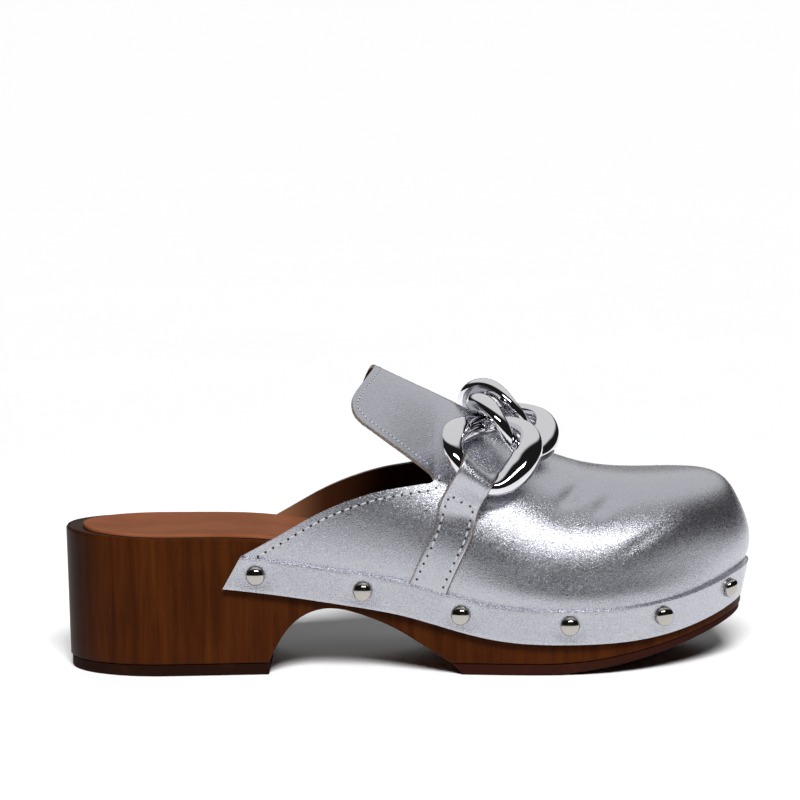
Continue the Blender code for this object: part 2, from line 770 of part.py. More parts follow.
def bend_round(slice_points, outer_start, inner_start, normal):
    """Middle line of the leather drawn tight round a slice of the bar."""
    hub = slice_points.mean(axis=0)
    room = GAP + BEND_SLACK + STRAP_THICK / 2

    def direction(angle):
        return np.array((math.cos(angle), math.sin(angle)))

    def touch(angle):
        ahead = slice_points @ direction(angle)
        return slice_points[ahead.argmax()] + direction(angle) * room

    def tangent(start, way):
        over = math.atan2(*(hub - start)[::-1])
        return halve(over, over + way * math.pi, lambda angle: (touch(angle) - start) @ direction(angle) < 0)

    way = 1 if direction(math.atan2(*(hub - outer_start)[::-1]) + math.pi / 2) @ normal > 0 else -1
    first = tangent(outer_start, way)
    last = tangent(inner_start, -way)
    turn = math.remainder(last - first, 2 * math.pi)
    if turn * way > 0:
        turn -= way * 2 * math.pi
    return [touch(angle) for angle in spaced(first, first + turn, BEND_POINTS)]


def strap_path(strap, points, across):
    """Middle line of the strap at a place across its width: points (e, y, u)."""
    flat = GAP + STRAP_THICK / 2
    top_e = strap.top_e + across
    slice_points = points[abs(points[:, 0] - top_e) < COLUMN_REACH][:, 1:]
    hub = slice_points.mean(axis=0)
    rises = spaced(*SEARCH_RISES, 34)
    nearest = min(rises, key=lambda rise: np.linalg.norm(vamp_at(strap.side, top_e, rise) - hub))
    top_rise = nearest - STRAP_APPROACH

    def layer(share, lift):
        e = STRAP_FOOT_E + (strap.top_e - STRAP_FOOT_E) * share + across
        e += STRAP_BOW * math.sin(math.pi * share ** 2)
        rise = STRAP_FOOT_RISE + (top_rise - STRAP_FOOT_RISE) * share
        return (e, *above(strap, e, rise, lift)[0])

    path = []
    for share in spaced(0, 1, RUN_POINTS):
        path.append(layer(share, flat + (STRAP_THICK + GAP) * smooth_step(*STRAP_LIFT, share)))
    fold = [layer(share, flat) for share in spaced(1, FOLD_END, FOLD_POINTS)]
    normal = above(strap, top_e, top_rise, 0.0)[1]
    for point in bend_round(slice_points, np.array(path[-1][1:]), np.array(fold[0][1:]), normal):
        path.append((top_e, *point))
    return np.array(path + fold)


def strap_faces(path):
    """Two faces of the strap beside its middle line."""
    steps = np.diff(path[:, 1:], axis=0)
    steps /= np.linalg.norm(steps, axis=1)[:, None]
    along = np.vstack((steps[:1], steps[:-1] + steps[1:], steps[-1:]))
    along /= np.linalg.norm(along, axis=1)[:, None]
    normal = np.stack((-along[:, 1], along[:, 0]), axis=1) * STRAP_THICK / 2
    one = path.copy()
    two = path.copy()
    one[:, 1:] += normal
    two[:, 1:] -= normal
    return one, two


def build_strap(strap):
    points = bar_points(strap)
    places = spaced(-STRAP_WIDTH / 2, STRAP_WIDTH / 2, STRAP_COLUMNS)
    columns = [strap_faces(strap_path(strap, points, across)) for across in places]
    rings = []
    for i in range(len(columns[0][0])):
        ring = [from_chain(one[i]) for one, two in columns]
        ring += [from_chain(two[i]) for one, two in columns[::-1]]
        rings.append(ring)
    finish_mesh(strap.name, loft(rings), (0.62, 0.62, 0.66), 0.3, 1.0)


for old in list(bpy.data.objects):
    bpy.data.objects.remove(old)
shoe = bpy.data.objects.new("shoe", None)
shoe.location = (-LENGTH / 2 * MM, -MIDDLE_Y * MM, 0.0)
bpy.context.scene.collection.objects.link(shoe)
build_wooden_sole()
build_heel_top_piece()
build_forefoot_outsole()
build_insole()
build_upper()
build_rand()
build_studs()
build_chain()
for keeper in STRAPS:
    build_strap(keeper)
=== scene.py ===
import math

import bmesh
import bpy
import numpy as np
from mathutils import Matrix, Vector


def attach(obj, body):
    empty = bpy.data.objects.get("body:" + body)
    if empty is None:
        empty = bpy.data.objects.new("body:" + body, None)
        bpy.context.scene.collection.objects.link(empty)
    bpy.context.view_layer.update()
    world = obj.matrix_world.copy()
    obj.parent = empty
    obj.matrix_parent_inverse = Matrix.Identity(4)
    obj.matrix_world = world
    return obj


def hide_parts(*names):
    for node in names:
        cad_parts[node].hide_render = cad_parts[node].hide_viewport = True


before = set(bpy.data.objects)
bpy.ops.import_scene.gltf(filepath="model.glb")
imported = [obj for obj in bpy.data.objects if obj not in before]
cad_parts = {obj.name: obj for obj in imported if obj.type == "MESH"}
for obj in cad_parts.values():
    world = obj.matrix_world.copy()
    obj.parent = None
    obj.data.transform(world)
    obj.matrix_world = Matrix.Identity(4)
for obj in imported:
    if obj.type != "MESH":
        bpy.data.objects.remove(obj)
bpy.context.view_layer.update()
print("frame loaded:", len(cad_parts), "nodes")

# Sizes of the last in millimetres: x from the back of the heel, -y lateral, z from the floor
mm = 0.001
tiny = 1e-9
halvings = 26
spread = np.linspace
joined = np.concatenate
last = {
    "length": 260.0, "middleY": 1.2, "gap": 0.3, "heelRound": 38.0, "toeRound": 62.0,
    "heelTaper": 0.01, "wallTaper": 0.035, "taperChange": (40.0, 100.0), "toeSlope": 2.4, "toeFlush": 3.2,
    "springStart": 176.0, "springRate": 0.0064, "springPower": 1.8,
    "footbedDish": 1.2, "heelDish": 1.4, "heelDishEnd": 70.0,
    "bulgeTop": 0.8, "bulgePeak": 6.75, "ridgeFront": 236.0,
    "notchX": 141.0, "notchRound": 1.7, "notchFade": 3.0,
    "tongueRear": 105.0, "tongueCrown": 118.9, "flapStart": 156.0, "flapCrown": 0.25, "flapSpread": 0.2,
}

# How far the faces of each layer stand off the wood
upperOut = 1.8
randIn = 2.1
randOut = 3.6
randWidth = 13.0
woodLength = last["length"] - randOut
toeStart = woodLength - last["toeRound"]
rowOrigin = np.array((last["length"] / 2, last["middleY"], 0.0))

# x, half width, centre, footbed, feather line, ridge, ridge shift to medial, squareness, bulge
lastRows = (
    (0.0, 30.5, 0.0, 54.2, 51.0, 173.0, 4.5, 2.00, 0.90),
    (40.0, 31.0, 0.0, 52.6, 48.6, 152.7, 4.5, 2.00, 0.90),
    (70.0, 30.4, -0.6, 51.9, 45.5, 137.4, 4.5, 2.00, 0.90),
    (90.0, 30.2, -1.0, 49.6, 42.6, 127.2, 4.5, 2.00, 0.90),
    (110.0, 31.2, -1.0, 45.4, 39.4, 117.0, 4.5, 2.00, 0.90),
    (130.0, 33.6, -0.6, 40.2, 35.6, 106.9, 4.5, 2.02, 0.90),
    (150.0, 37.0, 0.0, 34.8, 29.9, 96.8, 4.5, 2.06, 0.85),
    (168.0, 40.2, 0.4, 30.8, 26.3, 86.2, 4.4, 2.12, 0.50),
    (185.0, 42.3, 0.9, 28.9, 25.3, 77.5, 4.0, 2.10, -0.15),
    (200.0, 43.0, 1.6, 28.6, 25.3, 72.7, 3.4, 2.32, -0.30),
    (220.0, 43.0, 2.8, 29.8, 26.5, 70.8, 2.6, 2.75, -0.30),
    (240.0, 42.6, 4.2, 32.4, 30.6, 70.9, 2.0, 3.10, 0.10),
    (256.4, 42.0, 5.2, 35.6, 36.0, 69.6, 2.0, 3.20, 2.30),
)
archLine = ((77.4, 4.6), (79.0, 8.0), (82.0, 13.4), (86.0, 18.6), (93.0, 23.5),
            (102.0, 25.1), (112.0, 22.9), (127.0, 16.4), (138.0, 9.4), (146.0, 4.4))
heelBreast = archLine[0][0]
foreBreast = archLine[-1][0]
topLine = ((69.0, 46.2), (83.0, 53.7), (98.0, 61.8), (110.0, 66.5),
           (122.0, 69.6), (134.0, 71.6), (141.0, 73.4))
tongueLine = ((108.0, 99.4), (113.0, 96.1), (121.0, 90.5), (128.0, 85.2), (136.0, 78.4), (141.0, 73.4))


def smoothCurve(points):
    xs, ys = np.array(points, float).T
    step = np.diff(xs)
    system = np.eye(len(xs))
    right = np.zeros(len(xs))
    for i in range(1, len(xs) - 1):
        system[i, i - 1:i + 2] = step[i - 1], 2 * (step[i - 1] + step[i]), step[i]
        right[i] = 6 * ((ys[i + 1] - ys[i]) / step[i] - (ys[i] - ys[i - 1]) / step[i - 1])
    bend = np.linalg.solve(system, right)

    def at(x):
        i = np.clip(np.searchsorted(xs, x) - 1, 0, len(step) - 1)
        after = xs[i + 1] - x
        before = x - xs[i]
        curve = (bend[i] * after ** 3 + bend[i + 1] * before ** 3) / (6 * step[i])
        start = (ys[i] / step[i] - bend[i] * step[i] / 6) * after
        end = (ys[i + 1] / step[i] - bend[i + 1] * step[i] / 6) * before
        return curve + start + end

    return at


halfWidth, centre, footbed, feather, ridge, ridgeMedial, squareness, bulge = [
    smoothCurve([(row[0], row[i]) for row in lastRows]) for i in range(1, 9)]
arch = smoothCurve(archLine)
topCurve = smoothCurve(topLine)
tongueCurve = smoothCurve(tongueLine)


def notchOpening(x):
    # the slit between quarter and tongue ends in a round
    back = np.maximum(0, last["notchX"] - x)
    half = np.maximum(0, tongueCurve(x) - topCurve(x)) / 2
    return np.sqrt(half ** 2 + 2 * last["notchRound"] * back * np.exp(-back / last["notchFade"])) - half


def topEdge(x):
    return topCurve(x) - notchOpening(x)


def tongueEdge(x):
    return tongueCurve(x) + notchOpening(x)


# Plan outline: a turn of 0 is the heel back, pi the toe tip, lateral side first
def turnAt(x):
    return np.arccos(1 - 2 * np.asarray(x, float) / woodLength)


def xAt(turn):
    return woodLength * (1 - np.cos(turn)) / 2


def endRounding(x):
    heel = (last["heelRound"] - x) / last["heelRound"]
    toe = (x - toeStart) / last["toeRound"]
    past = np.maximum(0, np.maximum(heel, toe))
    return np.sqrt(np.maximum(0, 1 - past ** 2))


def between(one, two, share):
    return one + (two - one) * share


def unit(vectors):
    return vectors / np.maximum(tiny, np.linalg.norm(vectors, axis=-1, keepdims=True))


def circle(count):
    return spread(0, 2 * math.pi, count + 1)[:-1]


def woodEdge(turn):
    x = xAt(turn)
    side = np.where(np.sin(turn) < 0, -1.0, 1.0)
    return np.stack((x, centre(x) - side * halfWidth(x) * endRounding(x)), -1)


def outward(turn):
    step = 0.004
    along = woodEdge(turn + step) - woodEdge(turn - step)
    return unit(np.stack((along[..., 1], -along[..., 0]), -1))


def edge(turn, out):
    return woodEdge(turn) + outward(turn) * np.asarray(out)[..., None]


def atHeight(plan, z):
    return joined((plan, np.broadcast_to(z, plan.shape[:-1])[..., None]), -1)


def smoothStep(low, high, value):
    share = np.clip((value - low) / (high - low), 0, 1)
    return share * share * (3 - 2 * share)


def springAt(x):
    return last["springRate"] * np.maximum(0, x - last["springStart"]) ** last["springPower"]


def toeShare(x):
    return np.clip((x - last["springStart"]) / (woodLength - last["springStart"]), 0, 1)


def wallInset(x, z):
    taper = between(last["heelTaper"], last["wallTaper"], smoothStep(*last["taperChange"], x))
    belowFeather = np.clip((feather(x) - z) / randWidth, 0, 1)
    return taper * (footbed(x) - z) + last["toeSlope"] * toeShare(x) ** 2 * belowFeather


def flush(x):
    return last["toeFlush"] * toeShare(x) ** 2


def footbedHeight(plan):
    x = plan[..., 0]
    across = (plan[..., 1] - centre(x)) / halfWidth(x)
    dish = last["footbedDish"] + last["heelDish"] * np.maximum(0, 1 - x / last["heelDishEnd"])
    return footbed(x) - dish * np.maximum(0, endRounding(x) ** 2 - across ** 2)


def flapInward(x, height, low, power):
    # half width of the tongue at a height: a round crown between nearly straight slopes
    crown = last["flapCrown"]
    left = 1 - (height - low) / (1 - low)
    slope = math.sqrt(1 + crown ** 2) - crown
    share = np.sqrt(np.maximum(0, (crown + left * slope) ** 2 - crown ** 2))
    wide = 1 + last["flapSpread"] * smoothStep(last["notchX"], last["tongueCrown"], x)
    return wide * share * (1 - low ** (2 / power)) ** (power / 2)


def upperPoint(turn, rise):
    x = xAt(turn)
    gather = (last["ridgeFront"] - toeStart) / last["toeRound"]
    ridgeX = np.where(x < toeStart, x, between(toeStart, x, gather))
    power = 2 / squareness(x)
    inward = np.maximum(0, np.cos(rise)) ** power
    height = np.sin(rise) ** power
    place = np.clip(x, last["tongueRear"], last["notchX"])
    low = (tongueCurve(place) - feather(place)) / (ridge(place) - feather(place))
    onFlap = (height > low - tiny) * (x > last["tongueRear"])
    flat = smoothStep(last["flapStart"], last["notchX"], x) * onFlap
    inward = between(inward, flapInward(x, np.maximum(height, low), low, power), flat)
    foot = edge(turn, upperOut - wallInset(x, feather(x)))
    top = np.stack((ridgeX, centre(ridgeX) + ridgeMedial(ridgeX)), -1)
    up = np.minimum(1, height / last["bulgeTop"])
    swell = bulge(x) * last["bulgePeak"] * up * (1 - up) ** 2
    plan = between(top, foot, inward[..., None]) + outward(turn) * swell[..., None]
    return atHeight(plan, between(feather(x), ridge(plan[..., 0]), height))


def riseAt(x, z):
    share = (z - feather(x)) / (ridge(x) - feather(x))
    return np.arcsin(np.clip(share, 0, 1) ** (squareness(x) / 2))


def lateral(turn):
    return turn


def medial(turn):
    return 2 * math.pi - turn


def lengthAlong(path):
    return joined(((0.0,), np.cumsum(np.linalg.norm(np.diff(path, axis=0), axis=1))))


def turnsToToe(rear, sideColumns, toeColumns):
    side = turnAt(spread(rear, toeStart, sideColumns))
    return joined((side, spread(turnAt(toeStart), math.pi, toeColumns)[1:]))


def quarterRound(radius, count=5):
    # pairs of distances from the two faces that a rounded edge joins
    turn = spread(0, math.pi / 2, count)
    return list(zip(radius * (1 - np.sin(turn)), radius * (1 - np.cos(turn))))


# Meshes
mergeGap = 0.02
sharpFrom = 40  # degrees between two faces from which their edge is sharp


def toRow(points):
    return (np.asarray(points, float) - rowOrigin) * mm


def addGrid(verts, faces, grid, closedAround=False, closedAlong=False):
    rows, columns = grid.shape[:2]
    first = len(verts)
    verts.extend(map(tuple, toRow(grid.reshape(-1, 3))))
    for i in range(rows if closedAlong else rows - 1):
        for j in range(columns if closedAround else columns - 1):
            k = (i + 1) % rows
            m = (j + 1) % columns
            faces.append((first + i * columns + j, first + i * columns + m,
                          first + k * columns + m, first + k * columns + j))


def makeMesh(name, verts, faces, sharp=sharpFrom):
    mesh = bpy.data.meshes.new(name)
    mesh.from_pydata(verts, [], faces)
    work = bmesh.new()
    work.from_mesh(mesh)
    bmesh.ops.remove_doubles(work, verts=work.verts, dist=mergeGap * mm)
    bmesh.ops.recalc_face_normals(work, faces=work.faces)
    work.to_mesh(mesh)
    work.free()
    mesh.shade_smooth()
    mesh.set_sharp_from_angle(angle=math.radians(sharp))
    return mesh


def loftMesh(name, rings, closed=False, sharp=sharpFrom):
    verts = []
    faces = []
    rings = np.array(rings)
    addGrid(verts, faces, rings, closedAround=True, closedAlong=closed)
    if not closed:
        count = rings.shape[1]
        faces.append(tuple(range(count)))
        faces.append(tuple(range(len(verts) - count, len(verts))))
    return makeMesh(name, verts, faces, sharp)


def addObject(name, data):
    thing = bpy.data.objects.new(name, data)
    bpy.context.scene.collection.objects.link(thing)
    return thing


def addPiece(name, mesh, materials):
    mesh.materials.clear()
    for material in materials:
        mesh.materials.append(material)
    return addObject(name, mesh)


def finalMesh(piece):
    return bpy.data.meshes.new_from_object(piece.evaluated_get(bpy.context.evaluated_depsgraph_get()))


def finishPiece(piece, slot, *nodes):
    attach(piece, "root")
    if nodes:
        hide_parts(*nodes)
    print(piece.name, len(piece.data.polygons), "faces")


def loftPiece(name, rings, material, slot, node, sharp=sharpFrom):
    piece = addPiece(name, loftMesh(name, rings, sharp=sharp), [material])
    finishPiece(piece, slot, node)


# Node trees: a wire is a socket that takes part in Python expressions
class Wire:
    def __init__(self, tree, socket=None):
        self.tree = tree
        self.socket = socket

    def node(self, kind, settings=None, sockets=None, out=0):
        made = self.tree.nodes.new(kind)
        for key, value in (settings or {}).items():
            if key == "stops":
                fillRamp(made.color_ramp, value)
            else:
                setattr(made, key, value)
        for key, value in (sockets or {}).items():
            if isinstance(value, Wire):
                self.tree.links.new(value.socket, made.inputs[key])
            else:
                made.inputs[key].default_value = value
        return Wire(self.tree, made.outputs[out])

    def maths(self, operation, one, two):
        return self.node("ShaderNodeMath", {"operation": operation}, {0: one, 1: two})

    def __add__(self, other):
        return self.maths("ADD", self, other)

    def __radd__(self, other):
        return self.maths("ADD", other, self)

    def __sub__(self, other):
        return self.maths("SUBTRACT", self, other)

    def __rsub__(self, other):
        return self.maths("SUBTRACT", other, self)

    def __mul__(self, other):
        return self.maths("MULTIPLY", self, other)

    def __rmul__(self, other):
        return self.maths("MULTIPLY", other, self)

    def ease(self, low, high):
        return self.node("ShaderNodeMapRange", {"interpolation_type": "SMOOTHSTEP"},
                         {"Value": self, "From Min": low, "From Max": high})

    def blend(self, one, two):
        one, two = [colour if isinstance(colour, Wire) else (*colour, 1.0) for colour in (one, two)]
        return self.node("ShaderNodeMix", {"data_type": "RGBA"}, {0: self, 6: one, 7: two}, out=2)

    def places(self, scale=(1, 1, 1)):
        spot = self.node("ShaderNodeTexCoord", out="Object")
        return self.node("ShaderNodeMapping", {}, {"Vector": spot, "Scale": scale})

    def noise(self, spot, scale, detail=2.0, roughness=0.5, distortion=0.0):
        return self.node("ShaderNodeTexNoise", {}, {
            "Vector": spot, "Scale": scale, "Detail": detail,
            "Roughness": roughness, "Distortion": distortion})

    def bump(self, height, distance):
        return self.node("ShaderNodeBump", {}, {"Height": height, "Distance": distance})

    def along(self, spot, axis="X"):
        return self.node("ShaderNodeSeparateXYZ", {}, {"Vector": spot}, out=axis)


def fillRamp(ramp, stops):
    ramp.elements[0].position = stops[0][0]
    ramp.elements[1].position = stops[-1][0]
    for place, _ in stops[1:-1]:
        ramp.elements.new(place)
    for element, (_, colour) in zip(ramp.elements, stops):
        element.color = (*colour, 1.0)


def newMaterial(name, fixed, build):
    material = bpy.data.materials.new(name)
    material.use_nodes = True
    tree = material.node_tree
    shader = tree.nodes["Principled BSDF"]
    for key, value in fixed.items():
        shader.inputs[key].default_value = value
    for key, wire in build(Wire(tree)).items():
        tree.links.new(wire.socket, shader.inputs[key])
    return material


# Silver leather: foil on a fine pebbled grain
silverLook = {"foil": (0.545, 0.55, 0.605), "foilDim": (0.46, 0.465, 0.51), "roughLow": 0.17,
              "roughHigh": 0.29, "pebbleScale": 2700.0, "pebbleDepth": 0.000036}


def buildSilver(wire):
    spot = wire.places()
    shake = wire.node("ShaderNodeTexNoise", {}, {"Vector": spot, "Scale": 1200.0}, out="Color")
    moved = wire.node("ShaderNodeVectorMath", {"operation": "MULTIPLY_ADD"},
                      {0: shake, 1: (0.0005, 0.0005, 0.0005), 2: spot})
    pebbles = {"Vector": moved, "Scale": silverLook["pebbleScale"]}
    cells = wire.node("ShaderNodeTexVoronoi", {"feature": "SMOOTH_F1"},
                      {**pebbles, "Smoothness": 0.3}, out="Distance")
    tone = wire.node("ShaderNodeTexVoronoi", {}, pebbles, out="Color")
    tone = wire.node("ShaderNodeSeparateColor", {}, {"Color": tone}, out="Red")
    broad = wire.noise(spot, 38.0, 3.0)
    fine = wire.noise(spot, 3600.0, 2.0)
    grain = (1 - cells.ease(0.1, 0.75)) * (0.6 + 0.4 * broad) + fine * 0.6 + tone * 0.3
    colour = (tone * 0.7 + cells.ease(0.55, 0.95) * 0.3).blend(silverLook["foil"], silverLook["foilDim"])
    rough = silverLook["roughLow"] + tone * (silverLook["roughHigh"] - silverLook["roughLow"]) + broad * 0.04
    return {"Base Color": colour, "Roughness": rough, "Normal": wire.bump(grain, silverLook["pebbleDepth"])}


silverLeather = newMaterial("silverLeather", {"Metallic": 0.96}, buildSilver)


# Lining, with painted shade towards the front, and cut edges of the leather
liningLook = {"brown": (0.270, 0.117, 0.060), "brownDark": (0.172, 0.066, 0.031),
              "paintedShade": (0.030, 0.0095, 0.0035), "paintedShadeFrom": (-0.060, -0.030), "rough": 0.62}


def buildLining(wire):
    spot = wire.places()
    blotch = wire.noise(spot, 60.0, 4.0)
    nap = wire.noise(spot, 1900.0, 3.0)
    colour = blotch.ease(0.3, 0.7).blend(liningLook["brownDark"], liningLook["brown"])
    # painted shade: the lining is blended to a near-black brown towards the front, where the tongue and
    # straps shade the inside of the shoe
    colour = wire.along(spot).ease(*liningLook["paintedShadeFrom"]).blend(colour, liningLook["paintedShade"])
    rough = liningLook["rough"] + nap * 0.2
    return {"Base Color": colour, "Roughness": rough, "Normal": wire.bump(nap + blotch, 0.00008)}


liningLeather = newMaterial("liningLeather", {"Specular IOR Level": 0.08}, buildLining)

cutEdgeLook = {"raw": (0.24, 0.205, 0.185), "rawDark": (0.09, 0.062, 0.05)}


def buildCutEdge(wire):
    spot = wire.places()
    fibre = wire.noise(spot, 1500.0, 4.0, 0.65)
    colour = fibre.ease(0.35, 0.65).blend(cutEdgeLook["rawDark"], cutEdgeLook["raw"])
    return {"Base Color": colour, "Normal": wire.bump(fibre, 0.0001)}


cutEdge = newMaterial("cutEdge", {"Roughness": 0.75}, buildCutEdge)


# Stained wood: grain upright in the block, darker towards the back of the heel
woodLook = {"dark": (0.0097, 0.0023, 0.00055), "middle": (0.0325, 0.0073, 0.0011),
            "light": (0.066, 0.0166, 0.0022), "heelBack": (0.0045, 0.0012, 0.0005),
            "heelFade": (-0.142, -0.108), "rough": 0.38}


def buildWood(wire):
    spot = wire.places()
    upright = wire.places((1.0, 1.0, 0.055))
    bands = wire.noise(upright, 210.0, 5.0, 0.62, 0.6)
    streak = wire.noise(upright, 900.0, 3.0, 0.7)
    cloud = wire.noise(spot, 26.0, 3.0, 0.55)
    tone = bands * 0.62 + streak * 0.25 + cloud * 0.3
    stops = [(0.30, woodLook["dark"]), (0.56, woodLook["middle"]), (0.86, woodLook["light"])]
    colour = wire.node("ShaderNodeValToRGB", {"stops": stops}, {"Fac": tone}, out="Color")
    # darker towards the back of the heel
    back = 1 - wire.along(spot).ease(*woodLook["heelFade"])
    colour = back.blend(colour, woodLook["heelBack"])
    pores = streak.ease(0.62, 0.8)
    rough = woodLook["rough"] + pores * 0.25 + cloud * 0.1
    return {"Base Color": colour, "Roughness": rough, "Normal": wire.bump(bands * 0.5 - pores * 0.6, 0.00016)}


stainedWood = newMaterial("stainedWood", {"Specular IOR Level": 0.04}, buildWood)


# Rubber
rubberLook = {"brown": (0.011, 0.0034, 0.0020), "dust": (0.029, 0.0080, 0.0047),
              "dustFrom": (-0.04, 0.04), "rough": 0.6}


def buildRubber(wire):
    spot = wire.places()
    speck = wire.noise(spot, 1300.0, 3.0, 0.6)
    scuff = wire.noise(spot, 90.0, 4.0, 0.6).ease(0.5, 0.8)
    dusty = scuff * 0.4 + wire.along(spot).ease(*rubberLook["dustFrom"]) * 0.6
    colour = dusty.blend(rubberLook["brown"], rubberLook["dust"])
    rough = rubberLook["rough"] + speck * 0.2
    return {"Base Color": colour, "Roughness": rough, "Normal": wire.bump(speck, 0.00012)}


soleRubber = newMaterial("soleRubber", {"Specular IOR Level": 0.04}, buildRubber)


# Insole leather
insoleLook = {"tan": (0.215, 0.074, 0.034), "tanDark": (0.165, 0.052, 0.020), "rough": 0.6}


def buildInsole(wire):
    spot = wire.places()
    cloud = wire.noise(spot, 42.0, 4.0, 0.55)
    grain = wire.node("ShaderNodeTexVoronoi", {"feature": "SMOOTH_F1"},
                      {"Vector": spot, "Scale": 1500.0, "Smoothness": 0.4}, out="Distance")
    pores = wire.noise(spot, 2400.0, 2.0)
    colour = cloud.ease(0.32, 0.68).blend(insoleLook["tanDark"], insoleLook["tan"])
    rough = insoleLook["rough"] + cloud * 0.18
    return {"Base Color": colour, "Roughness": rough, "Normal": wire.bump(pores - grain, 0.00005)}


insoleLeather = newMaterial("insoleLeather", {"Specular IOR Level": 0.08}, buildInsole)


# Metals and thread
metalLook = {"chrome": (0.79, 0.79, 0.82, 1.0), "nickel": (0.48, 0.455, 0.425, 1.0)}
threadLook = {"shade": (0.34, 0.34, 0.37), "lit": (0.50, 0.50, 0.54)}
# needle holes: near-black beads stand for the shade inside each hole, a painted shade
holeShadeLook = {"black": (0.006, 0.005, 0.005), "grey": (0.02, 0.018, 0.018)}


def buildPolish(low, high):
    def build(wire):
        smear = wire.noise(wire.places(), 120.0, 4.0, 0.6)
        return {"Roughness": low + smear.ease(0.4, 0.75) * (high - low)}
    return build


chrome = newMaterial("chrome", {"Base Color": metalLook["chrome"], "Metallic": 1.0}, buildPolish(0.025, 0.07))
nickel = newMaterial("nickel", {"Base Color": metalLook["nickel"], "Metallic": 1.0}, buildPolish(0.06, 0.16))


def buildThread(wire):
    twist = wire.node("ShaderNodeTexWave", {"bands_direction": "DIAGONAL"},
                      {"Vector": wire.places(), "Scale": 900.0, "Distortion": 1.0}, out="Fac")
    colour = twist.blend(threadLook["shade"], threadLook["lit"])
    return {"Base Color": colour, "Normal": wire.bump(twist, 0.00004)}


greyThread = newMaterial("greyThread", {"Roughness": 0.6}, buildThread)


# painted shade: each needle hole is a dark bead, varied between black and grey
def buildHole(wire):
    holeShadeNoise = wire.noise(wire.places(), 2000.0)
    return {"Base Color": holeShadeNoise.blend(holeShadeLook["black"], holeShadeLook["grey"])}


needleHole = newMaterial("needleHole", {"Roughness": 0.9}, buildHole)
print("materials made")


# Wooden sole
woodShape = {"edgeRound": 1.2, "footRound": 0.6, "wallRows": 6, "underRows": 8, "footbedRows": 15,
             "ledgeGap": 0.3, "ledgeStep": 0.05, "heelColumns": 26, "toeColumns": 40,
             "springReach": 8.0, "springPower": 1.6, "springColumns": 14, "sharp": 50}
rubberShape = {"heel": 4.6, "forefoot": 4.4, "toe": 2.4, "slant": 4.5, "slantFade": 14.0,
               "waistFrom": 42.0, "heelColumns": 10, "foreColumns": 26}
endTurn = 0.04  # the flat left at the very back and the very front
waistFront = 193.0
heelTurns = spread(endTurn, turnAt(last["heelRound"]), woodShape["heelColumns"])
toeTurns = spread(turnAt(toeStart), math.pi - endTurn, woodShape["toeColumns"])


def rubberThickness(x):
    return between(rubberShape["forefoot"], rubberShape["toe"], toeShare(x))


def woodUnderside(x):
    if x <= heelBreast:
        return rubberShape["heel"]
    if x >= foreBreast:
        return springAt(x) + rubberThickness(x)
    return arch(x)


def woodWall(turn):
    x = xAt(turn)
    top = footbed(x)
    under = woodUnderside(x)
    big = woodShape["edgeRound"]
    small = woodShape["footRound"]
    rows = [(inward, top - down) for inward, down in quarterRound(big, 6)]
    ledge = feather(x) - randWidth - woodShape["ledgeGap"]
    lower = ledge - woodShape["ledgeStep"]
    rows += [(0.0, z) for z in spread(top - big, ledge, woodShape["wallRows"])[1:]]
    rows += [(-flush(x), z) for z in spread(lower, under + small, woodShape["wallRows"])[:-1]]
    rows += [(inward - flush(x), under + up) for up, inward in quarterRound(small)]
    inset, z = np.array(rows).T
    return atHeight(edge(np.full(len(z), turn), -inset - wallInset(np.full(len(z), x), z)), z)


def woodRing(turn):
    near = woodWall(turn)
    far = woodWall(medial(turn))
    mix = spread(0, 1, woodShape["underRows"] + 2)[1:-1, None]
    under = between(near[-1], far[-1], mix)
    mix = spread(1, 0, woodShape["footbedRows"] + 2)[1:-1, None]
    bed = between(near[0], far[0], mix)
    bed[:, 2] = footbedHeight(bed[:, :2])
    return joined((near, under, far[::-1], bed))


# Columns of the waist: from x, to x, count, and closer ones where the arch springs from the heel
waistSpans = ((40.0, heelBreast, 20), (87.0, foreBreast, 42), (148.0, waistFront, 30))
heelWaist, archWaist, foreWaist = [spread(*span) for span in waistSpans]
archSpring = spread(0, 1, woodShape["springColumns"])[1:] ** woodShape["springPower"]
archSpring = heelBreast + woodShape["springReach"] * archSpring
waist = turnAt(joined((heelWaist, archSpring, archWaist, foreWaist)))
woodTurns = joined((heelTurns, waist, toeTurns))
woodRings = [woodRing(turn) for turn in woodTurns]
loftPiece("woodenSole", woodRings, stainedWood, "wood", "wooden_sole", woodShape["sharp"])


# Rubber under heel and forefoot
def rubberRing(turn, top, under):
    x = xAt(turn)
    small = woodShape["footRound"]
    inset = wallInset(x, woodUnderside(x)) + small - flush(x)
    rows = [(0.0, top), (0.0, (top + under) / 2)]
    rows += [(inward, under + up) for up, inward in quarterRound(small)]
    more, z = np.array(rows).T
    fade = np.clip(1 - (x - foreBreast) / rubberShape["slantFade"], 0, 1) if x >= foreBreast else 0.0
    there = turnAt(x + rubberShape["slant"] * fade * (top - z) / (top - under))
    walls = [atHeight(edge(side, -inset - more), z) for side in (there, medial(there))]
    return joined((walls[0], walls[1][::-1]))


heelWaist = turnAt(spread(rubberShape["waistFrom"], heelBreast, rubberShape["heelColumns"]))
heelRubberTurns = joined((heelTurns, heelWaist))
heelRings = [rubberRing(turn, rubberShape["heel"] - last["gap"], 0.0) for turn in heelRubberTurns]
loftPiece("heelTopPiece", heelRings, soleRubber, "rubber", "heel_top_piece")

foreRings = []
for turn in joined((turnAt(spread(foreBreast, waistFront, rubberShape["foreColumns"])), toeTurns)):
    ground = springAt(xAt(turn))
    foreRings.append(rubberRing(turn, ground + rubberThickness(xAt(turn)) - last["gap"], ground))
loftPiece("forefootOutsole", foreRings, soleRubber, "rubber", "forefoot_outsole")


# Insole
insoleShape = {"inset": 4.0, "heelInset": 6.5, "thick": 1.3, "edgeRound": 0.9, "widestRim": 0.2,
               "columns": 22, "underColumns": 8, "waistFrom": 41.0, "waistColumns": 60, "sharp": 60}


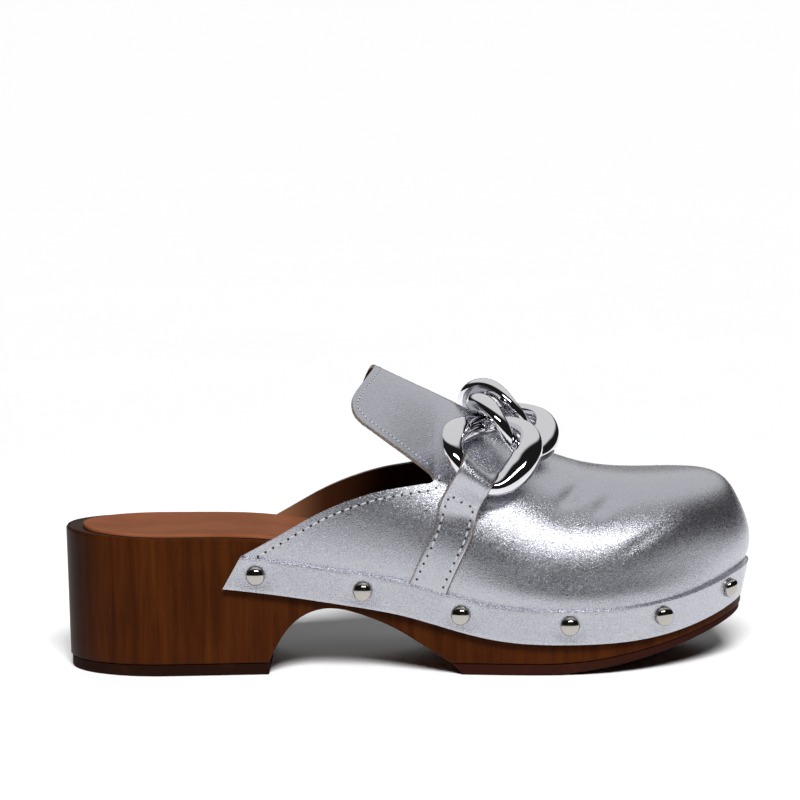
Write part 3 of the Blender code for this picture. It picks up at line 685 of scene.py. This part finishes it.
def insoleRing(turn):
    x = xAt(turn)
    heel = np.clip(1 - x / last["heelRound"], 0, 1)
    inset = between(insoleShape["inset"], insoleShape["heelInset"], heel ** 2)
    near = edge(turn, -inset)
    far = edge(medial(turn), -inset)
    span = np.linalg.norm(far - near)
    soft = min(insoleShape["widestRim"], insoleShape["edgeRound"] / span)
    thick = insoleShape["thick"]
    rim = [(soft * inward, thick - insoleShape["edgeRound"] * down) for down, inward in quarterRound(1.0)]
    rows = [(0.0, 0.0)] + rim
    rows += [(mix, thick) for mix in spread(soft, 1 - soft, insoleShape["columns"])[1:-1]]
    rows += [(1 - mix, lift) for mix, lift in rim[::-1]]
    rows += [(mix, 0.0) for mix in spread(1, 0, insoleShape["underColumns"])[:-1]]
    mix, lift = np.array(rows).T
    plan = between(near, far, mix[:, None])
    return atHeight(plan, footbedHeight(plan) + last["gap"] + lift)


insoleWaist = turnAt(spread(insoleShape["waistFrom"], waistFront, insoleShape["waistColumns"]))
insoleTurns = joined((heelTurns, insoleWaist, toeTurns))
insoleRings = [insoleRing(turn) for turn in insoleTurns]
loftPiece("insole", insoleRings, insoleLeather, "insole_leather", "insole", insoleShape["sharp"])


# Upper
upperShape = {
    "wall": 1.5, "marginDepth": 12.0, "quarterRear": 69.0, "evenFrom": 185.0, "evenAt": 205.0,
    "tongueCorners": (107.6, 110.5), "tongueRound": 7.0, "tongueRoundShare": 0.25, "medialClimb": 0.7,
    "marginRows": 4, "quarterRows": 40, "vampRows": 56,
    "rearColumns": 74, "tongueColumns": 40, "waistColumns": 46, "toeColumns": 64, "sharp": (70, 60),
}

# The rand's rear end is cut aslant, and the quarter's margin follows it
randFoot = 60.9
randSlant = 7.0
randFade = 45.0
notchRise = riseAt(last["notchX"], topEdge(last["notchX"]))

# Creases of the leather: (x, z) points on the side, height of the ridge or trough, half width
creaseFade = {"margin": 0.05, "power": 0.7}
rollOverRand = (((158, 34.5), (172, 31), (190, 29.5), (206, 29), (222, 30.5), (238, 35)), 0.6, 5.0)
creases = {
    "lateral": (
        (((200, 70.4), (194, 67.5), (188, 63)), -1.75, 2.6),
        (((211, 67), (206, 64), (200, 59.4)), -1.5, 2.8),
        (((180, 64), (187, 59.5), (194, 57)), -0.4, 4.0),
        (((228, 55), (222, 52), (214, 47.5), (209, 44.5)), -0.22, 2.2),
        (((227, 58), (221, 55), (213, 50.5), (208, 47.5)), 0.08, 2.4),
        (((240, 62), (226, 60.5), (212, 58), (195, 56)), -0.3, 5.0),
        rollOverRand,
    ),
    "medial": (
        (((198, 67), (192, 63), (188, 58)), -0.4, 3.0),
        (((222, 54), (214, 47), (208, 42)), -0.3, 2.4),
        rollOverRand,
    ),
}


def creaseHeight(points, lines):
    side = points[..., (0, 2)]
    total = np.zeros(side.shape[:-1])
    for line, height, width in lines:
        line = np.array(line, float)
        walked = lengthAlong(line)
        nearest = np.full(total.shape, np.inf)
        share = np.zeros(total.shape)
        for start, end, leg, before in zip(line, line[1:], np.diff(walked), walked):
            along = np.clip((side - start) @ (end - start) / leg ** 2, 0, 1)
            away = np.linalg.norm(side - (start + along[..., None] * (end - start)), axis=-1)
            closer = away < nearest
            nearest = np.where(closer, away, nearest)
            share = np.where(closer, (before + along * leg) / walked[-1], share)
        margin = creaseFade["margin"]
        fade = np.sin(math.pi * (margin + share * (1 - 2 * margin))) ** creaseFade["power"]
        total += height * fade * np.exp(-(nearest / width) ** 2)
    return total


def randShift(x, depth):
    fade = np.clip(1 - (x - randFoot) / randFade, 0, 1)
    return randSlant * fade * (1 - depth / randWidth)


def marginPoint(turn, depth):
    x = xAt(turn)
    z = feather(x) - depth
    return atHeight(edge(turn, upperOut - wallInset(x, z)), z)


def evenRises(x, low, high, count, samples=400):
    dense = spread(low, high, samples)
    walked = lengthAlong(upperPoint(np.full(samples, turnAt(x)), dense))
    return np.interp(spread(0, walked[-1], count), walked, dense)


def quarterColumn(turn, side):
    x = xAt(turn)
    top = riseAt(x, topEdge(x)) if x < last["notchX"] else notchRise
    points = []
    for depth in spread(upperShape["marginDepth"], 0, upperShape["marginRows"])[:-1]:
        lean = randShift(x - randSlant, 0.0) - randShift(x - randSlant, depth)
        points.append(marginPoint(side(turnAt(x - lean) if x < last["notchX"] else turn), depth))
    rises = spread(0, top, upperShape["quarterRows"])
    return joined((points, upperPoint(np.full(len(rises), side(turn)), rises)))


def tongueEnd(share, side):
    # x of the tongue's end, from its side edge to the ridge
    corner = upperShape["tongueCorners"][0 if side is lateral else 1]
    left = np.maximum(0, 1 - share / upperShape["tongueRoundShare"])
    climb = np.sin(share * math.pi / 2) if side is lateral else share ** upperShape["medialClimb"]
    end = between(corner, last["tongueCrown"], climb)
    return end + upperShape["tongueRound"] * (1 - np.sqrt(1 - left ** 2))


def tongueColumn(along, side):
    share = spread(0, 1, upperShape["vampRows"])
    x = between(last["notchX"], tongueEnd(share, side), along)
    low = riseAt(x, tongueEdge(x))
    return upperPoint(side(turnAt(x)), between(low, math.pi / 2, share))


vampRise = math.pi / 2 - notchRise
vampMix = evenRises(upperShape["evenAt"], notchRise, math.pi / 2, upperShape["vampRows"])
vampMix = (vampMix - notchRise) / vampRise


def vampColumn(turn, side):
    x = xAt(turn)
    even = smoothStep(last["notchX"], upperShape["evenFrom"], x)
    plain = spread(0, 1, upperShape["vampRows"])
    rises = notchRise + vampRise * between(plain, vampMix, even)
    return upperPoint(np.full(len(rises), side(turn)), rises)


def gridNormals(grid):
    return unit(np.cross(np.gradient(grid, axis=0), np.gradient(grid, axis=1)))


def buildUpper():
    fromNotch = (last["notchX"] - upperShape["quarterRear"]) * spread(1, 0, upperShape["rearColumns"]) ** 2
    rearTurns = turnAt(last["notchX"] - fromNotch)
    frontTurns = turnsToToe(last["notchX"], upperShape["waistColumns"], upperShape["toeColumns"])
    verts = []
    faces = []
    for side, way, lines in ((lateral, 1, creases["lateral"]), (medial, -1, creases["medial"])):
        rear = [quarterColumn(turn, side) for turn in rearTurns]
        tongue = [tongueColumn(along, side) for along in spread(1, 0, upperShape["tongueColumns"]) ** 2]
        front = [joined((quarterColumn(turn, side), vampColumn(turn, side)[1:]))
                 for turn in frontTurns]
        for grid in map(np.array, (rear, tongue, front)):
            normal = gridNormals(grid) * way
            addGrid(verts, faces, grid + normal * creaseHeight(grid, lines)[..., None])
    sheetSharp, wallSharp = upperShape["sharp"]
    mesh = makeMesh("upper", verts, faces, sheetSharp)
    piece = addPiece("upper", mesh, [silverLeather, liningLeather, cutEdge])
    wall = piece.modifiers.new("wall", "SOLIDIFY")
    wall.thickness = upperShape["wall"] * mm
    wall.offset = -1.0
    wall.use_even_offset = True
    wall.material_offset = 1
    wall.material_offset_rim = 2
    solid = finalMesh(piece)
    piece.modifiers.clear()
    piece.data = solid
    solid.set_sharp_from_angle(angle=math.radians(wallSharp))
    return piece


upper = buildUpper()
finishPiece(upper, "silver_leather", "upper")


# Rand
randShape = {"edgeRound": 0.45, "hug": 0.22, "bevel": 0.6, "dimple": 0.35, "dimpleReach": 6.0,
             "dimpleFrom": 0.5, "rows": 13, "sideColumns": 120, "toeColumns": 70}
studPlaces = {"x": (73.4, 113.6, 150.3, 190.4, 224.5, 249.6), "raise": 0.8, "raiseFrom": (140.0, 190.0)}
studTurns = turnAt(studPlaces["x"])
studTurns = joined((studTurns, medial(studTurns[::-1])))


def studHeight(x):
    return feather(x) - randWidth / 2 + studPlaces["raise"] * smoothStep(*studPlaces["raiseFrom"], x)


def studMiddle(turn, out):
    x = xAt(turn)
    z = studHeight(x)
    return atHeight(edge(turn, out - wallInset(x, z)), z)


def randRing(turn):
    x = xAt(turn)
    soft = randShape["edgeRound"]
    rows = [(randIn, randWidth)]
    rows += [(randOut - inward, randWidth - up) for inward, up in quarterRound(soft)]
    rows += [(randOut, depth) for depth in spread(randWidth - soft, soft, randShape["rows"])[1:-1]]
    rows += [(randOut - inward, depth) for depth, inward in quarterRound(soft)]
    rows.append((randIn - randShape["hug"], -randShape["bevel"]))
    out, depth = np.array(rows).T
    place = x + randShift(x, depth)
    there = turnAt(np.minimum(place, woodLength))
    there = np.where(place > x, there if turn < math.pi else medial(there), turn)
    z = feather(place) - depth
    skin = atHeight(edge(there, out - wallInset(place, z)), z)
    outside = out > randIn + randShape["dimpleFrom"]
    for stud in studTurns:
        away = np.linalg.norm(skin - studMiddle(stud, randOut), axis=1)
        press = randShape["dimple"] * np.exp(-(away / randShape["dimpleReach"]) ** 4) * outside
        skin[:, :2] -= outward(there) * press[:, None]
    return skin


randSide = turnsToToe(randFoot, randShape["sideColumns"], randShape["toeColumns"])
randTurns = joined((randSide, medial(randSide[-2::-1])))
loftPiece("rand", [randRing(turn) for turn in randTurns], silverLeather, "silver_leather", "rand")


# Repeated pieces: a small Geometry Nodes tree for each
def startTree(name, inputs):
    tree = bpy.data.node_groups.new(name, "GeometryNodeTree")
    tree.interface.new_socket("Geometry", in_out="INPUT", socket_type="NodeSocketGeometry")
    for label, kind in inputs:
        tree.interface.new_socket(label, in_out="INPUT", socket_type=kind)
    tree.interface.new_socket("Geometry", in_out="OUTPUT", socket_type="NodeSocketGeometry")
    start = tree.nodes.new("NodeGroupInput")
    return tree, {socket.name: Wire(tree, socket) for socket in start.outputs if socket.name}


def endTree(tree, shapes, material):
    wire = Wire(tree)
    whole = wire.node("GeometryNodeRealizeInstances", {}, {"Geometry": shapes})
    painted = wire.node("GeometryNodeSetMaterial", {}, {"Geometry": whole, "Material": material})
    end = tree.nodes.new("NodeGroupOutput")
    tree.links.new(painted.socket, end.inputs[0])


def runTree(name, mesh, tree, values):
    seed = addObject(name + "Seed", mesh)
    modifier = seed.modifiers.new(name, "NODES")
    modifier.node_group = tree
    for item in tree.interface.items_tree:
        if item.in_out == "INPUT" and item.name in values:
            modifier[item.identifier] = values[item.name]
    made = finalMesh(seed)
    bpy.data.objects.remove(seed)
    made.name = name
    return addObject(name, made)


def pointsMesh(name, points, turns):
    mesh = bpy.data.meshes.new(name)
    mesh.from_pydata([tuple(point) for point in toRow(points)], [], [])
    attribute = mesh.attributes.new("turn", "FLOAT_VECTOR", "POINT")
    attribute.data.foreach_set("vector", np.array([list(turn) for turn in turns], np.float32).ravel())
    return mesh


def placedTree(name, material):
    tree, wires = startTree(name, [("Shape", "NodeSocketObject")])
    wire = Wire(tree)
    shape = wire.node("GeometryNodeObjectInfo", {}, {"Object": wires["Shape"]}, out="Geometry")
    turn = wire.node("GeometryNodeInputNamedAttribute", {"data_type": "FLOAT_VECTOR"}, {"Name": "turn"})
    rotation = wire.node("FunctionNodeEulerToRotation", {}, {"Euler": turn})
    placed = wire.node("GeometryNodeInstanceOnPoints", {}, {
        "Points": wires["Geometry"], "Instance": shape, "Rotation": rotation})
    endTree(tree, placed, material)
    return tree


def placeCopies(name, rings, closed, points, turns, material):
    form = addPiece(name + "Form", loftMesh(name + "Form", np.array(rings) + rowOrigin, closed), [])
    seats = pointsMesh(name + "Seats", points, turns)
    piece = runTree(name, seats, placedTree(name + "Tree", material), {"Shape": form})
    bpy.data.objects.remove(form)
    piece.data.shade_smooth()
    return piece


# Studs: a dome on a thin rim
studShape = {"radius": 3.65, "height": 2.7, "rim": 0.4, "topTurn": 88, "sides": 40, "rows": 12, "sharp": 50}


def studRing(radius, z):
    around = circle(studShape["sides"])
    return np.stack((radius * np.cos(around), radius * np.sin(around), np.full(len(around), z)), -1)


studRings = [studRing(studShape["radius"], 0.0)]
for up in spread(0, math.radians(studShape["topTurn"]), studShape["rows"]):
    studRings.append(studRing(studShape["radius"] * math.cos(up),
                              between(studShape["rim"], studShape["height"], math.sin(up))))
studEulers = []
for turn in studTurns:
    x = xAt(turn)
    z = studHeight(x)
    facing = Vector((*outward(turn), wallInset(x, z) - wallInset(x, z - 1)))
    studEulers.append(facing.to_track_quat("Z", "Y").to_euler())
studSpots = [studMiddle(turn, randOut) for turn in studTurns]
studs = placeCopies("studs", studRings, False, studSpots, studEulers, nickel)
studs.data.set_sharp_from_angle(angle=math.radians(studShape["sharp"]))
finishPiece(studs, "nickel", *[f"stud_{i:02d}" for i in range(1, len(studTurns) + 1)])


# Chain: e runs along the ridge to the toe, y across, u off the vamp
chainFrame = {"x": 167.0, "lean": math.radians(28.5)}
chainLean = Matrix.Rotation(chainFrame["lean"], 3, "Y")
chainAxes = np.array(((math.cos(chainFrame["lean"]), 0.0, -math.sin(chainFrame["lean"])), (0.0, 1.0, 0.0),
                      (math.sin(chainFrame["lean"]), 0.0, math.cos(chainFrame["lean"]))))
chainStart = np.array((chainFrame["x"], centre(chainFrame["x"]), ridge(chainFrame["x"])))
linkShape = {"halfWidth": 13.7, "halfLength": 16.6, "twist": 3.8, "squaring": 0.93, "bar": (3.3, 2.7),
             "lobe": (5.6, 4.3), "sharpness": 3.5, "rings": 96, "sides": 32}
linkPoses = {  # place in the chain's frame, then tilt, roll and yaw in degrees
    "chain_link_lateral": ((-3.46, -29.66, -4.64), (40.63, -12.08, -14.17)),
    "chain_link_middle": ((0.99, -7.97, 5.39), (10.8, 2.01, -1.01)),
    "chain_link_medial": ((-1.27, 15.83, 4.64), (-17.25, 0.0, 0.0)),
}


def toChain(points):
    return (np.asarray(points) - chainStart) @ chainAxes.T


def fromChain(places):
    return chainStart + np.asarray(places) @ chainAxes


def squared(value):
    return math.copysign(abs(value) ** linkShape["squaring"], value)


def linkCentre(angle):
    return np.array((linkShape["halfWidth"] * squared(math.cos(angle)),
                     linkShape["halfLength"] * squared(math.sin(angle)),
                     linkShape["twist"] * math.sin(2 * angle)))


def linkRing(angle, sides):
    step = 0.01
    along = unit(linkCentre(angle + step) - linkCentre(angle - step))
    outer = unit(np.cross(along, (0.0, 0.0, 1.0)))
    face = np.cross(outer, along)
    fat = abs(math.cos(angle)) ** linkShape["sharpness"]
    width, thick = [between(bar, lobe, fat) for bar, lobe in zip(linkShape["bar"], linkShape["lobe"])]
    around = circle(sides)[:, None]
    return linkCentre(angle) + outer * width * np.cos(around) + face * thick * np.sin(around)


def linkTurn(angles):
    tilt, roll, yaw = [math.radians(value) for value in angles]
    return Matrix.Rotation(tilt, 3, "X") @ Matrix.Rotation(yaw, 3, "Z") @ Matrix.Rotation(roll, 3, "Y")


linkRings = [linkRing(angle, linkShape["sides"]) for angle in circle(linkShape["rings"])]
linkSpots = [fromChain(place) for place, _ in linkPoses.values()]
linkEulers = [(chainLean @ linkTurn(angles)).to_euler() for _, angles in linkPoses.values()]
chain = placeCopies("chain", linkRings, True, linkSpots, linkEulers, chrome)
finishPiece(chain, "chrome", *linkPoses)


# Keeper straps: up the vamp, round the end link's bar and back under
strapShape = {"width": 14.0, "thick": 1.2, "footE": -0.3, "footRise": 0.02, "bow": 1.5, "tuck": 1.6,
              "approach": 0.16, "lift": (0.0, 0.66), "foldEnd": 0.5, "bevel": 0.32, "edgeLift": 0.4,
              "reach": 2.6, "gather": 0.6, "slack": 0.25, "columns": 15, "run": 44, "bend": 34, "fold": 16,
              "steps": 130, "easing": 70, "easeFade": (4, 13), "relaxing": 3, "sharp": 50}
strapSearch = {"x": (-60, 40), "rises": (0.3, 1.4), "samples": 120,
               "barAngles": (12, 168), "barRings": 140, "barSides": 24}
straps = {
    "strap_lateral": {"side": lateral, "link": "chain_link_lateral", "topE": -4.3, "barSide": -1},
    "strap_medial": {"side": medial, "link": "chain_link_medial", "topE": -0.1, "barSide": 1},
}


def vampAt(side, e, rise):
    low, high = [np.full(np.shape(e), chainFrame["x"] + reach) for reach in strapSearch["x"]]
    for _ in range(halvings):
        middle = (low + high) / 2
        far = toChain(upperPoint(side(turnAt(middle)), rise))[..., 0] > e
        high = np.where(far, middle, high)
        low = np.where(far, low, middle)
    return toChain(upperPoint(side(turnAt(low)), rise))[..., 1:]


def above(strap, e, rise, lift):
    step = 0.02
    along = vampAt(strap["side"], e, rise + step) - vampAt(strap["side"], e, rise - step)
    normal = unit(np.stack((along[..., 1], -along[..., 0]), -1)) * strap["barSide"]
    return vampAt(strap["side"], e, rise) + normal * np.asarray(lift)[..., None], normal


def barPoints(strap):
    place, angles = linkPoses[strap["link"]]
    turn = np.array(linkTurn(angles))
    bar = strap["barSide"] * np.radians(spread(*strapSearch["barAngles"], strapSearch["barRings"]))
    points = [linkRing(angle, strapSearch["barSides"]) for angle in bar]
    return joined(points) @ turn.T + place


def bendRound(piece, outerStart, innerStart, normal):
    hub = piece.mean(axis=0)
    room = last["gap"] + strapShape["slack"] + strapShape["thick"] / 2

    def direction(angle):
        return np.array((math.cos(angle), math.sin(angle)))

    def touch(angle):
        return piece[(piece @ direction(angle)).argmax()] + direction(angle) * room

    def tangent(start, way):
        low = math.atan2(*(hub - start)[::-1])
        high = low + way * math.pi
        for _ in range(halvings):
            middle = (low + high) / 2
            if (touch(middle) - start) @ direction(middle) < 0:
                high = middle
            else:
                low = middle
        return low

    way = 1 if direction(math.atan2(*(hub - outerStart)[::-1]) + math.pi / 2) @ normal > 0 else -1
    first = tangent(outerStart, way)
    turn = math.remainder(tangent(innerStart, -way) - first, 2 * math.pi)
    if turn * way > 0:
        turn -= way * 2 * math.pi
    return np.array([touch(angle) for angle in spread(first, first + turn, strapShape["bend"])])


def strapPath(strap, points, across):
    flat = last["gap"] + strapShape["thick"] / 2
    topE = strap["topE"] + across
    sliceE = strap["topE"] + across * strapShape["gather"]
    piece = points[abs(points[:, 0] - sliceE) < strapShape["reach"]][:, 1:]
    rises = spread(*strapSearch["rises"], strapSearch["samples"])
    vamp = vampAt(strap["side"], np.full(len(rises), topE), rises)
    nearest = np.linalg.norm(vamp - piece.mean(axis=0), axis=1).argmin()
    topRise = rises[nearest] - strapShape["approach"]

    def layer(share, lift):
        e = between(strapShape["footE"], strap["topE"], share) + across
        e = e + strapShape["bow"] * np.sin(math.pi * share ** 2)
        rise = between(strapShape["footRise"], topRise, share)
        place, normal = above(strap, e, rise, np.broadcast_to(lift, np.shape(e)))
        return joined((e[:, None], place), 1), normal

    share = spread(0, 1, strapShape["run"])
    climb = (strapShape["thick"] + last["gap"]) * smoothStep(*strapShape["lift"], share)
    run, normals = layer(share, flat + climb)
    fold = layer(spread(1, strapShape["foldEnd"], strapShape["fold"]), flat)[0]
    bend = bendRound(piece, run[-1, 1:], fold[0, 1:], normals[-1])
    bend = joined((np.full((len(bend), 1), topE), bend), 1)
    foot = run[:1] + (run[:1] - run[1:2]) * strapShape["tuck"]
    return joined((foot, run, bend, fold))


def soften(grid, axis, free=1.0):
    # one pass that moves each point toward its neighbours' middle
    moved = np.moveaxis(grid.copy(), axis, 0)
    moved[1:-1] += free * np.diff(moved, 2, axis=0) / 4
    return np.moveaxis(moved, 0, axis)


def evenSteps(path, count, trim=0.0):
    walked = lengthAlong(path)
    places = spread(trim, walked[-1] - trim, count)
    return np.stack([np.interp(places, walked, path[:, i]) for i in range(3)], -1)


def strapGrid(strap):
    points = barPoints(strap)
    places = spread(-strapShape["width"] / 2, strapShape["width"] / 2, strapShape["columns"])
    paths = [strapPath(strap, points, across) for across in places]
    walked = lengthAlong(paths[strapShape["columns"] // 2])
    runEnd = walked[strapShape["run"]] / walked[-1] * strapShape["steps"]
    grid = np.array([evenSteps(path, strapShape["steps"]) for path in paths])
    # the outer layer runs in one easy curve up to the bend, then all is evened along and across
    free = 1 - smoothStep(*np.add(runEnd, strapShape["easeFade"]), np.arange(strapShape["steps"]))
    for _ in range(strapShape["easing"]):
        grid = soften(grid, 1, free[1:-1, None, None])
    for _ in range(strapShape["relaxing"]):
        grid = soften(soften(grid, 0), 1)
    return grid


def buildStrap(name, strap):
    grid = fromChain(strapGrid(strap))
    normal = gridNormals(grid)
    rims = between(grid[[0, -1]], grid[[1, -2]], strapShape["bevel"])
    sheet = joined((grid[:1], rims[:1], grid[1:-1], rims[1:], grid[-1:]))
    thin = strapShape["edgeLift"]
    lift = joined((normal[:1] * thin, normal, normal[-1:] * thin)) * strapShape["thick"] / 2
    rings = joined((sheet + lift, (sheet - lift)[::-1])).transpose(1, 0, 2)
    mesh = loftMesh(name, rings, sharp=strapShape["sharp"])
    wide = len(sheet)
    cutFaces = (0, wide - 2, wide - 1, wide, 2 * wide - 2, 2 * wide - 1)
    piece = addPiece(name, mesh, [silverLeather, cutEdge])
    for face in mesh.polygons:
        if face.index % (2 * wide) in cutFaces:
            face.material_index = 1
    finishPiece(piece, "silver_leather", name)
    return grid, normal


strapSkins = {name: buildStrap(name, strap) for name, strap in straps.items()}


# Stitches: thread, and needle holes as beads of painted shade, along rows
stitchShape = {"pitch": 3.2, "length": 2.3, "width": 0.75, "hole": 0.95, "inset": 2.6, "rearInset": 0.8,
               "rear": 73.0, "notchBack": 1.4, "notchBend": 3.4, "notchTurn": 110, "threadLift": 0.05,
               "strapColumn": 2, "strapStop": 52, "rowPoints": 90, "bendPoints": 14}
fineStitch = {"pitch": 1.7, "length": 1.3, "width": 0.42, "hole": 0.42, "inset": 2.0, "threadLift": 0.02,
              "side": (138.5, 116.0), "cornerShare": 0.1, "ridgeGap": 0.002, "rowPoints": 60}
rowSpacing = 0.4


def rowMesh(name, rows):
    verts = []
    edges = []
    for row in rows:
        first = len(verts)
        verts.extend(map(tuple, toRow(row)))
        edges.extend((first + i, first + i + 1) for i in range(len(row) - 1))
    mesh = bpy.data.meshes.new(name)
    mesh.from_pydata(verts, edges, [])
    return mesh


def stitchTree(name, material):
    tree, wires = startTree(name, [("Pitch", "NodeSocketFloat"), ("Width", "NodeSocketFloat"),
                                   ("Length", "NodeSocketFloat")])
    wire = Wire(tree)
    path = wire.node("GeometryNodeMeshToCurve", {}, {"Mesh": wires["Geometry"]})
    even = wire.node("GeometryNodeResampleCurve", {"mode": "LENGTH"},
                     {"Curve": path, "Length": wires["Pitch"]})
    seats = wire.node("GeometryNodeCurveToPoints", {"mode": "EVALUATED"}, {"Curve": even}, out="Points")
    turns = Wire(tree, seats.socket.node.outputs["Rotation"])
    size = wire.node("ShaderNodeCombineXYZ", {},
                     {"X": wires["Width"], "Y": wires["Width"], "Z": wires["Length"]})
    bead = wire.node("GeometryNodeMeshUVSphere", {}, {"Segments": 8, "Rings": 5, "Radius": 0.5}, out="Mesh")
    placed = wire.node("GeometryNodeInstanceOnPoints", {}, {
        "Points": seats, "Instance": bead, "Rotation": turns, "Scale": size})
    endTree(tree, placed, material)
    return tree


def surfaceRow(turns, rises, lift):
    here = upperPoint(turns, rises)
    along = np.gradient(here, axis=0)
    step = 0.01
    up = upperPoint(turns, rises + step) - here
    normal = unit(np.cross(along, up))
    away = normal[:, 1] * (here[:, 1] - centre(here[:, 0]))
    return here + normal * np.sign(away)[:, None] * lift


def quarterRow(side, lift):
    # along the quarter's top edge, then round the end of the notch
    bend = stitchShape["notchBend"]
    middle = last["notchX"] - stitchShape["notchBack"]
    x = spread(stitchShape["rear"], middle, stitchShape["rowPoints"])
    z = topEdge(x) - stitchShape["inset"] - stitchShape["rearInset"] * spread(1, 0, len(x))
    turn = spread(0, math.radians(stitchShape["notchTurn"]), stitchShape["bendPoints"])[1:]
    x = joined((x, middle + bend * np.sin(turn)))
    z = joined((z, z[-1] + bend * (1 - np.cos(turn))))
    return surfaceRow(side(turnAt(x)), riseAt(x, z), lift)


def tongueRow(side, lift):
    # up from the notch along the side edge, round the corner and along the end to the ridge
    inset = fineStitch["inset"]
    x = spread(*fineStitch["side"], fineStitch["rowPoints"])
    rises = riseAt(x, tongueEdge(x) + inset)
    share = spread(fineStitch["cornerShare"], 1, fineStitch["rowPoints"])
    endX = tongueEnd(share, side) + inset
    endLow = riseAt(endX, tongueEdge(endX))
    endRise = between(endLow, math.pi / 2 - fineStitch["ridgeGap"], share)
    return surfaceRow(side(turnAt(joined((x, endX)))), joined((rises, endRise)), lift)


def strapRows(name, lift):
    grid, normal = strapSkins[name]
    skin = grid + normal * straps[name]["barSide"] * -(strapShape["thick"] / 2 + lift)
    near = stitchShape["strapColumn"]
    far = strapShape["columns"] - 1 - near
    stop = stitchShape["strapStop"]
    return [skin[near, 1:stop], skin[far, 1:stop], skin[near:far + 1, stop]]


def halfLater(row, step):
    return evenSteps(row, int(lengthAlong(row)[-1] / rowSpacing), step / 2)


def boldRows(lift):
    rows = [quarterRow(lateral, lift), quarterRow(medial, lift)]
    for name in straps:
        rows += strapRows(name, lift)
    return rows


def fineRows(lift):
    return [tongueRow(lateral, lift), tongueRow(medial, lift)]


threadTree = stitchTree("threadTree", greyThread)
holeTree = stitchTree("holeTree", needleHole)
for label, makeRows, shape in (("", boldRows, stitchShape), ("Fine", fineRows, fineStitch)):
    threadRows = rowMesh("threadRows" + label, makeRows(shape["threadLift"]))
    stitches = runTree("stitches" + label, threadRows, threadTree, {
        "Pitch": shape["pitch"] * mm, "Width": shape["width"] * mm, "Length": shape["length"] * mm})
    stitches.data.shade_smooth()
    finishPiece(stitches, "silver_leather")
    holeRows = rowMesh("holeRows" + label, [halfLater(row, shape["pitch"]) for row in makeRows(0.0)])
    holes = runTree("needleHoles" + label, holeRows, holeTree, {
        "Pitch": shape["pitch"] * mm, "Width": shape["hole"] * mm, "Length": shape["hole"] * mm})
    finishPiece(holes, "silver_leather")


# Floor, light and camera
stageLook = {"floor": (0.92, 0.92, 0.925, 1.0), "floorReach": 20.0, "pale": 0.75, "dark": 0.012,
             "paleAxis": (0.0, 0.5, 0.866), "paleEdge": (0.60, 0.72)}
lights = {
    "softbox": {"kind": "AREA", "place": (0.26, -1.38, 1.36), "aim": (0.02, 0.0, 0.05),
                "energy": 12.0, "size": (1.2, 0.2), "glossy": True},
    "floorFill": {"kind": "SUN", "place": (0.1, -1.15, 1.08), "aim": (0.0, 0.0, 0.0),
                  "energy": 5.1, "size": math.radians(22), "glossy": False},
    "backFill": {"kind": "AREA", "place": (0.0, 0.34, 0.22), "aim": (0.0, 0.1, 0.0),
                 "energy": 0.3, "size": (0.6, 0.15), "glossy": False},
}
view = {"distance": 1.6, "lens": 189.8, "sensor": 36.0, "pitch": 7.6, "yaw": -1.0, "roll": -1.1,
        "aim": (-0.0019, 0.0, 0.0994)}


def buildFloor(wire):
    haze = wire.noise(wire.places(), 3.0, 2.0)
    return {"Roughness": 0.7 + haze * 0.2}


floorPaint = newMaterial("floorPaint", {
    "Base Color": stageLook["floor"], "Specular IOR Level": 0.2}, buildFloor)
floorMesh = bpy.data.meshes.new("floor")
corners = ((-1, -1), (1, -1), (1, 1), (-1, 1))
floorMesh.from_pydata([(x * stageLook["floorReach"], y * stageLook["floorReach"], 0) for x, y in corners],
                      [], [(0, 1, 2, 3)])
floor = addPiece("floor", floorMesh, [floorPaint])

world = bpy.data.worlds.new("studio")
bpy.context.scene.world = world
world.use_nodes = True
skyTree = world.node_tree
sky = Wire(skyTree)
ray = sky.node("ShaderNodeTexCoord", out="Generated")
backdrop = sky.node("ShaderNodeVectorMath", {"operation": "DOT_PRODUCT"},
                    {0: ray, 1: stageLook["paleAxis"]}, out="Value")
cap = backdrop.ease(*stageLook["paleEdge"])
glow = stageLook["dark"] + cap * (stageLook["pale"] - stageLook["dark"])
skyTree.links.new(glow.socket, skyTree.nodes["Background"].inputs["Color"])
world.cycles_visibility.diffuse = False


def addLight(name, kind, place, aim, energy, size, glossy):
    data = bpy.data.lights.new(name, kind)
    data.energy = energy
    if kind == "AREA":
        data.shape = "RECTANGLE"
        data.size, data.size_y = size
    else:
        data.angle = size
    light = addObject(name, data)
    light.location = place
    light.rotation_euler = (Vector(aim) - Vector(place)).to_track_quat("-Z", "Y").to_euler()
    light.visible_glossy = glossy
    light.visible_diffuse = not glossy


for name, look in lights.items():
    addLight(name, **look)

camera = addObject("camera", bpy.data.cameras.new("camera"))
camera.data.lens = view["lens"]
camera.data.sensor_width = view["sensor"]
camera.matrix_world = (
    Matrix.Translation((0.0, -last["middleY"] * mm, 0.0))
    @ Matrix.Rotation(math.radians(-view["yaw"]), 4, "Z")
    @ Matrix.Translation(view["aim"])
    @ Matrix.Rotation(math.radians(90 - view["pitch"]), 4, "X")
    @ Matrix.Rotation(math.radians(view["roll"]), 4, "Z")
    @ Matrix.Translation((0.0, 0.0, view["distance"])))
bpy.context.scene.camera = camera
bpy.context.scene.view_settings.view_transform = "Standard"
